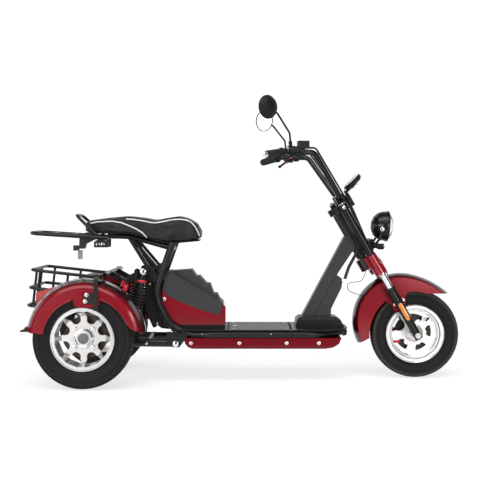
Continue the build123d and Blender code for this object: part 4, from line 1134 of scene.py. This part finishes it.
def laid_on_seat(points, direction, lift=0.001):
    """Points thrown on to the seat along a direction."""
    laid = []
    for point in points:
        hit, normal, _, _ = seat_surface.ray_cast(point, direction)
        if hit is not None:
            laid.append(hit + normal * lift)
    return laid


def seam(name, points, body="frame"):
    """A piped seam with its stitching on both sides."""
    hose(name, points, 0.003, piping_vinyl, body, 4, 6)
    for side, shift in (("upper", 0.0055), ("lower", -0.0055)):
        curve = bpy.data.curves.new(name + side, "CURVE")
        curve.dimensions = "3D"
        spline = curve.splines.new("NURBS")
        shifted = []
        for point in points:
            near, normal, _, _ = seat_surface.find_nearest(point + Vector((0, 0,
                                                                           shift)) + Vector((0, shift * 0.6,
                                                                                             0)))
            shifted.append(near + normal * 0.0004)
        spline.points.add(len(shifted) - 1)
        for knot, point in zip(spline.points, shifted):
            knot.co = (*point, 1)
        spline.order_u = 3
        spline.use_endpoint_u = True
        grown(f"{name}_stitch_{side}", curve, stitches, {"Pitch": 0.0055, "Thread": 0.0005},
              seat_side_vinyl, body)


def dense(points, steps=8):
    """A corner list refined along smooth runs."""
    made = []
    for a, b in zip(points, points[1:]):
        made += [a + (b - a) * (i / steps) for i in range(steps)]
    return made + [points[-1]]


for side, word in ((-1, "right"), (1, "left")):
    waist = [(-7, 728), (30, 735), (99, 738), (140, 732), (176, 718), (210, 703), (238, 686), (258, 664)]
    points = [from_rear(x, side * 260, z) for x, z in waist]
    seam(f"waist_piping_{word}", laid_on_seat(dense(points, 4), Vector((0, -side, 0))))
    rim = [(165, 748), (200, 746), (235, 741), (270, 733), (297, 730), (330, 735), (370, 744), (409, 747),
           (440, 743), (460, 735),
           (468, 728), (482, 711), (492, 690), (499, 670)]
    over = laid_on_seat(dense([from_rear(x, side * 260, z) for x, z in rim], 3), Vector((0, -side, 0)))
    seam(f"crown_piping_{word}", over)

# ------------------------------------------------------------------ headlight

lamp_axis = Vector((0.998, 0, -0.07)).normalized()
lamp_mid = from_front(-126, 0, 713)
lamp = facing(lamp_mid, lamp_axis)
glass = turned("headlight_glass",
               [(0, 0.0328), (0.02, 0.0308), (0.04, 0.0238), (0.056, 0.0138), (0.0655, 0.0018),
                                   (0.0655, -0.0006), (0.054, 0.0112), (0.038, 0.0212), (0.019, 0.0282),
                (0, 0.0302)],
               lamp, lamp_glass, "steering", 64)
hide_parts("headlight_lens")
turned("headlight_reflector",
       [(0.0655, 0.0), (0.058, -0.0012), (0.05, -0.0022), (0.044, -0.003), (0.03, -0.0034), (0.03, 0.0016),
                               (0.0655, 0.0014)], lamp, chrome, "steering", 64, True)
turned("headlight_projector",
       [(0.031, -0.003), (0.031, 0.004), (0.029, 0.0065), (0.026, 0.0065), (0.024, 0.009), (0.016, 0.0125),
                               (0, 0.0142), (0, -0.003)], lamp, led_white, "steering", 48)
turned("headlight_bezel",
       [(0.0665, 0.0), (0.0672, 0.0042), (0.0695, 0.0052), (0.0722, 0.0036), (0.0732, 0.0),
        (0.0732, -0.0075),
                           (0.0722, -0.0075)], lamp, slider_paint, "steering", 72)
led_places = [(lamp @ Vector((0.048 * math.cos(a), 0.048 * math.sin(a), 0.0015)), lamp_axis)
              for a in (2 * math.pi * i / 20 for i in range(20))]
fasten("headlight_leds", led_places, 0.0036, 0.0024, led_white, "steering", "cap", 1.25)
fasten("headlight_bolts", both_sides([from_front(-160, -83, 701)]), 0.0085, 0.007, chrome, "steering",
       "cap", 1.2)
for side, word in ((-1, "right"), (1, "left")):
    turned(f"signal_rim_{word}",
           [(0.0125, 0.0), (0.0142, 0.0), (0.0146, 0.002), (0.0146, 0.005), (0.0138, 0.006),
            (0.0125, 0.006)],
           facing(from_front(-164, side * 96, 620), (1, 0, 0)), slider_paint, "steering",
           28, True)
    turned(f"signal_glass_{word}",
           [(0.0125, 0.0), (0.012, 0.003), (0.0085, 0.0058), (0.004, 0.0068), (0, 0.007), (0, 0.0)],
           facing(from_front(-158.4, side * 96, 620), (1, 0, 0)), amber, "steering", 28)

# ------------------------------------------------------------------ fork and bar

fasten("top_clamp_bolts", [(on_fork(0, side * 123, 687), (0, side, 0)) for side in (-1, 1)], 0.0062, 0.006,
       chrome, "steering", "socket", 1.3)
along_fork = Vector((-math.sin(rake), 0, math.cos(rake)))
fasten("stem_nut", [(on_fork(-32, 0, 719), along_fork)], 0.012, 0.009, zinc, "steering")
fasten("leg_caps", [(on_fork(0, side * leg_side, 707), along_fork) for side in (-1, 1)], 0.0105, 0.006,
       slider_paint, "steering",
       "hex", 1.3)
fasten("yoke_nuts", [(on_fork(-2, side * 52, 431), along_fork) for side in (-1, 1)], 0.0085, 0.01, chrome,
       "steering")
fasten("bar_clamp_bolts", [(on_fork(n, side * 55, 745), along_fork) for n in (-4, 22) for side in (-1, 1)],
       0.0048, 0.005, zinc,
       "steering", "socket", 0)
fasten("fender_bolts", both_sides([from_front(-99, -63, 348), from_front(-60, -63, 369)]), 0.006, 0.006,
       chrome,
       "steering", "cap", 1.3)
for side, word in ((-1, "right"), (1, "left")):
    turned(f"slider_seal_{word}",
           [(0.0165, 0.0), (0.0232, 0.0), (0.0238, 0.002), (0.0238, 0.009), (0.0222, 0.012),
            (0.0165, 0.012)],
           facing(on_fork(0, side * leg_side, 243), along_fork), black_rubber, "steering",
           36, True)
    turned(f"slider_shoulder_{word}", [(0.0218, 0.0), (0.0234, 0.002), (0.0234, 0.01), (0.0218, 0.012)],
           facing(on_fork(0, side * leg_side, 184), along_fork), slider_paint, "steering",
           36)
    turned(f"collar_groove_{word}", [(0.0298, 0.0), (0.0303, 0.0006), (0.0303, 0.0022), (0.0298, 0.0028)],
           facing(on_fork(0, side * leg_side, 331), along_fork), chrome, "steering", 48)
    turned(f"axle_ring_{word}",
           [(0.0132, 0.0), (0.0132, 0.004), (0.0165, 0.004), (0.018, 0.0015), (0.018, 0.0)],
           facing(on_fork(0, side * 116.2, 0), (0, side, 0)), slider_paint, "steering", 36,
           True)
    outline = [(0.0098 * math.cos(a), (0.035 if math.sin(a) > 0 else -0.035) + 0.0098 * math.sin(a))
               for a in (math.pi * (i + 0.5) / 10 for i in range(20))]
    turn = Matrix.Translation(on_fork(0, side * 119.6, 128.5)) @ Matrix.Rotation(rake, 4,
                                                                                 "Y").inverted() @ \
        Matrix.Rotation(-side * math.pi / 2, 4, "X")
    plate(f"reflector_face_{word}", outline, turn, 0.0016, amber, "steering", 0.0007)

bar_corner = from_front(-624, 227, 1053)
bar_tip = from_front(-709, 335, 1034)
for side, word in ((-1, "right"), (1, "left")):
    a = Vector((bar_tip.x, side * bar_tip.y, bar_tip.z))
    b = Vector((bar_corner.x, side * bar_corner.y, bar_corner.z))
    run = (b - a).normalized()
    profile = [(0.0131, 0.0), (0.0168, 0.0)]
    ribs = 17
    for i in range(ribs):
        h = 0.008 + i * 0.0057
        profile += [(0.0164, h), (0.0173, h + 0.0012), (0.0173, h + 0.0036), (0.0164, h + 0.0048)]
    profile += [(0.0168, 0.108), (0.0205, 0.112), (0.0212, 0.1165), (0.0205, 0.12), (0.0131, 0.12)]
    grip = turned(f"grip_{word}", profile, facing(a, run), black_rubber, "steering", 32,
                  True)
    if side < 0:
        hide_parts("grips")
    turned(f"bar_end_face_{word}",
           [(0, 0.0098), (0.008, 0.0098), (0.0115, 0.0088), (0.0136, 0.006), (0.0138, 0.0)],
           facing(a, -run), chrome, "steering", 32)
    turned(f"starter_button_{word}",
           [(0.0052, 0.0), (0.0052, 0.004), (0.0044, 0.006), (0, 0.0064), (0, 0.0)],
           facing(Vector((bar_corner.x + 0.03, side * 0.2 + side * 0.02, bar_corner.z - 0.024)),
                  (0.1, -side * 0.3, -0.9)),
           button_red, "steering", 20)
    for number, (dx, dz, size) in enumerate(((0.034, 0.018, 0.0055), (0.046, 0.0245, 0.0045),
                                             (0.018, 0.024, 0.0045))):
        turned(f"switch_{word}_{number}",
               [(size, 0.0), (size, 0.003), (size * 0.8, 0.0046), (0, 0.005), (0, 0.0)],
               facing(Vector((bar_corner.x + dx, side * 0.2, bar_corner.z + dz)), (0.0, -side * 0.9, 0.5)),
               button_red if number == 2 else black_rubber,
               "steering", 16)
    lid_centre = from_front(-538, side * 209, 1099)
    lid_turn = Matrix.Translation(lid_centre) @ Matrix.Rotation(math.radians(-10 * side), 4, "Z")
    plate(f"reservoir_lid_{word}", [(-0.026, -0.021), (0.026, -0.021), (0.026, 0.021), (-0.026, 0.021)],
          lid_turn, 0.004, slider_paint,
          "steering", 0.0012)
    fasten(f"reservoir_screws_{word}",
           [(lid_turn @ Vector((x, y, 0.004)), (0, 0, 1)) for x in (-0.019, 0.019) for y in (-0.014,
                                                                                             0.014)],
           0.0026, 0.0018, zinc, "steering", "socket", 0)

# ------------------------------------------------------------------ display

dial_normal = Vector((-0.69, 0, 0.72)).normalized()
dial = facing(from_front(-290, 0, 924), dial_normal)
turned("display_ring",
       [(0.0385, 0.0098), (0.0388, 0.0122), (0.043, 0.0128), (0.0462, 0.0106), (0.0478, 0.0075),
        (0.0478, 0.005),
                        (0.0455, 0.005)], dial, dial_white, "steering", 64)
turned("display_face", [(0, 0.0104), (0.038, 0.0104), (0.0388, 0.0098)], dial, black_plastic, "steering",
       48)
ticks = bmesh.new()
for i in range(31):
    a = math.radians(-130 + 260 * i / 30)
    long = 0.0055 if i % 5 == 0 else 0.003
    place = dial @ Matrix.Rotation(a, 4, "Z") @ Matrix.Translation((0, 0.0345 - long, 0.0104))
    prism(ticks, [(-0.0004, 0), (0.0004, 0), (0.0004, long), (-0.0004, long)], place, 0.0003)
piece("display_ticks", from_bmesh("display_ticks", ticks), dial_white, "steering")
needle = dial @ Matrix.Rotation(math.radians(125), 4, "Z")
plate("display_needle", [(-0.0012, -0.006), (0.0012, -0.006), (0.0004, 0.028), (-0.0004, 0.028)],
      needle @ Matrix.Translation((0, 0, 0.0112)),
      0.0006, button_red, "steering", 0)
for side, word in ((-1, "right"), (1, "left")):
    hose(f"display_wire_{word}",
         [dial @ Vector((0.004, side * 0.01, -0.016)), dial @ Vector((-0.002, side * 0.014, -0.034)),
                                  on_fork(60, side * 12, 772), on_fork(56, side * 8, 750)], 0.0014,
         wire_insulation, "steering")

# ------------------------------------------------------------------ brake hose and small wires

hose("front_brake_hose",
     [on_fork(18, 44, 440), on_fork(40, 56, 400), on_fork(46, 66, 330), on_fork(28, 70, 250),
                          on_fork(-30, 72, 150), on_fork(-62, 68, 80),
      front_axle + Vector((-0.09, 0.06, 0.022))],
     0.0026, black_rubber, "steering")
hose("sensor_wire", [on_fork(-46, -40, 384), on_fork(-84, -44, 330), from_front(-318, -46, 452),
                     from_front(-322, -48, 420),
                     from_front(-300, -50, 402), from_front(-252, -52, 388), from_front(-222, -50, 372)],
     0.0017, black_rubber,
     "steering")

# ------------------------------------------------------------------ stage, lights and camera


def surface(name, size, place, colour, own):
    """A sheet of pale paper; own is how much of its white doesn't depend on the lamps."""
    mesh = bpy.data.meshes.new(name)
    x, y = size[0] / 2, size[1] / 2
    mesh.from_pydata([(-x, -y, 0), (x, -y, 0), (x, y, 0), (-x, y, 0)], [], [(0, 1, 2, 3)])
    item = bpy.data.objects.new(name, mesh)
    scene.collection.objects.link(item)
    item.matrix_world = place
    material = Finish(name + "_paper", Roughness=0.9, Specular_IOR_Level=0.1)
    material.set(Base_Color=material.blend(material.noise(0.6, 1), colour,
                                           tuple(c * 0.995 for c in colour)),
                 Emission_Color=(1, 1, 1), Emission_Strength=own)
    item.data.materials.append(material.material)
    return item


surface("floor", (16, 9.4), Matrix.Translation((0, 2.3, 0)), (0.34, 0.34, 0.34), 0.7)
surface("backdrop", (40, 20), Matrix.Translation((0, 7, 0)) @ Matrix.Rotation(math.pi / 2, 4, "X"),
        (0.34, 0.34, 0.34), 0.76)

world = bpy.data.worlds.new("studio")
scene.world = world
world.use_nodes = True
background = world.node_tree.nodes["Background"]
background.inputs["Color"].default_value = (0.97, 0.98, 1, 1)
background.inputs["Strength"].default_value = 0.12
seen = world.node_tree.nodes.new("ShaderNodeBackground")
seen.inputs["Color"].default_value = (1, 1, 1, 1)
ray = world.node_tree.nodes.new("ShaderNodeLightPath")
either = world.node_tree.nodes.new("ShaderNodeMixShader")
links = world.node_tree.links
links.new(ray.outputs["Is Camera Ray"], either.inputs["Fac"])
links.new(background.outputs["Background"], either.inputs[1])
links.new(seen.outputs["Background"], either.inputs[2])
links.new(either.outputs["Shader"], world.node_tree.nodes["World Output"].inputs["Surface"])


def lamp_panel(name, place, target, size, power):
    light = bpy.data.lights.new(name, "AREA")
    light.shape = "RECTANGLE"
    light.size, light.size_y = size
    light.energy = power
    item = bpy.data.objects.new(name, light)
    scene.collection.objects.link(item)
    item.location = place
    item.rotation_euler = (Vector(target) - Vector(place)).to_track_quat("-Z", "Y").to_euler()


sun = bpy.data.lights.new("wide_ceiling", "SUN")
sun.energy = 1.7
sun.angle = math.radians(60)
ceiling = bpy.data.objects.new("wide_ceiling", sun)
scene.collection.objects.link(ceiling)
ceiling.rotation_euler = (Vector((0.1, 0.66, -1))).to_track_quat("-Z", "Y").to_euler()
lamp_panel("rear_bank", (-2.4, -4.4, 1.15), (-0.2, 0, 0.6), (1.7, 1.9), 68)
lamp_panel("front_bank", (2.3, -4.4, 1.15), (0.2, 0, 0.6), (1.7, 1.9), 68)
lamp_panel("tail_panel", (-4.3, -0.65, 1.65), (-0.6, 0, 0.7), (1.6, 2.0), 22)
lamp_panel("top_strip", (0, -1.6, 3.6), (0, 0, 0.5), (3.2, 0.4), 32)

camera_data = bpy.data.cameras.new("camera")
camera = bpy.data.objects.new("camera", camera_data)
scene.collection.objects.link(camera)
camera.location = (-0.027, -4.75, 0.762)
camera.rotation_euler = (math.pi / 2, 0, 0)
camera_data.lens = 75
camera_data.sensor_width = 36
camera_data.shift_y = -0.05
scene.camera = camera
scene.view_settings.view_transform = "Standard"
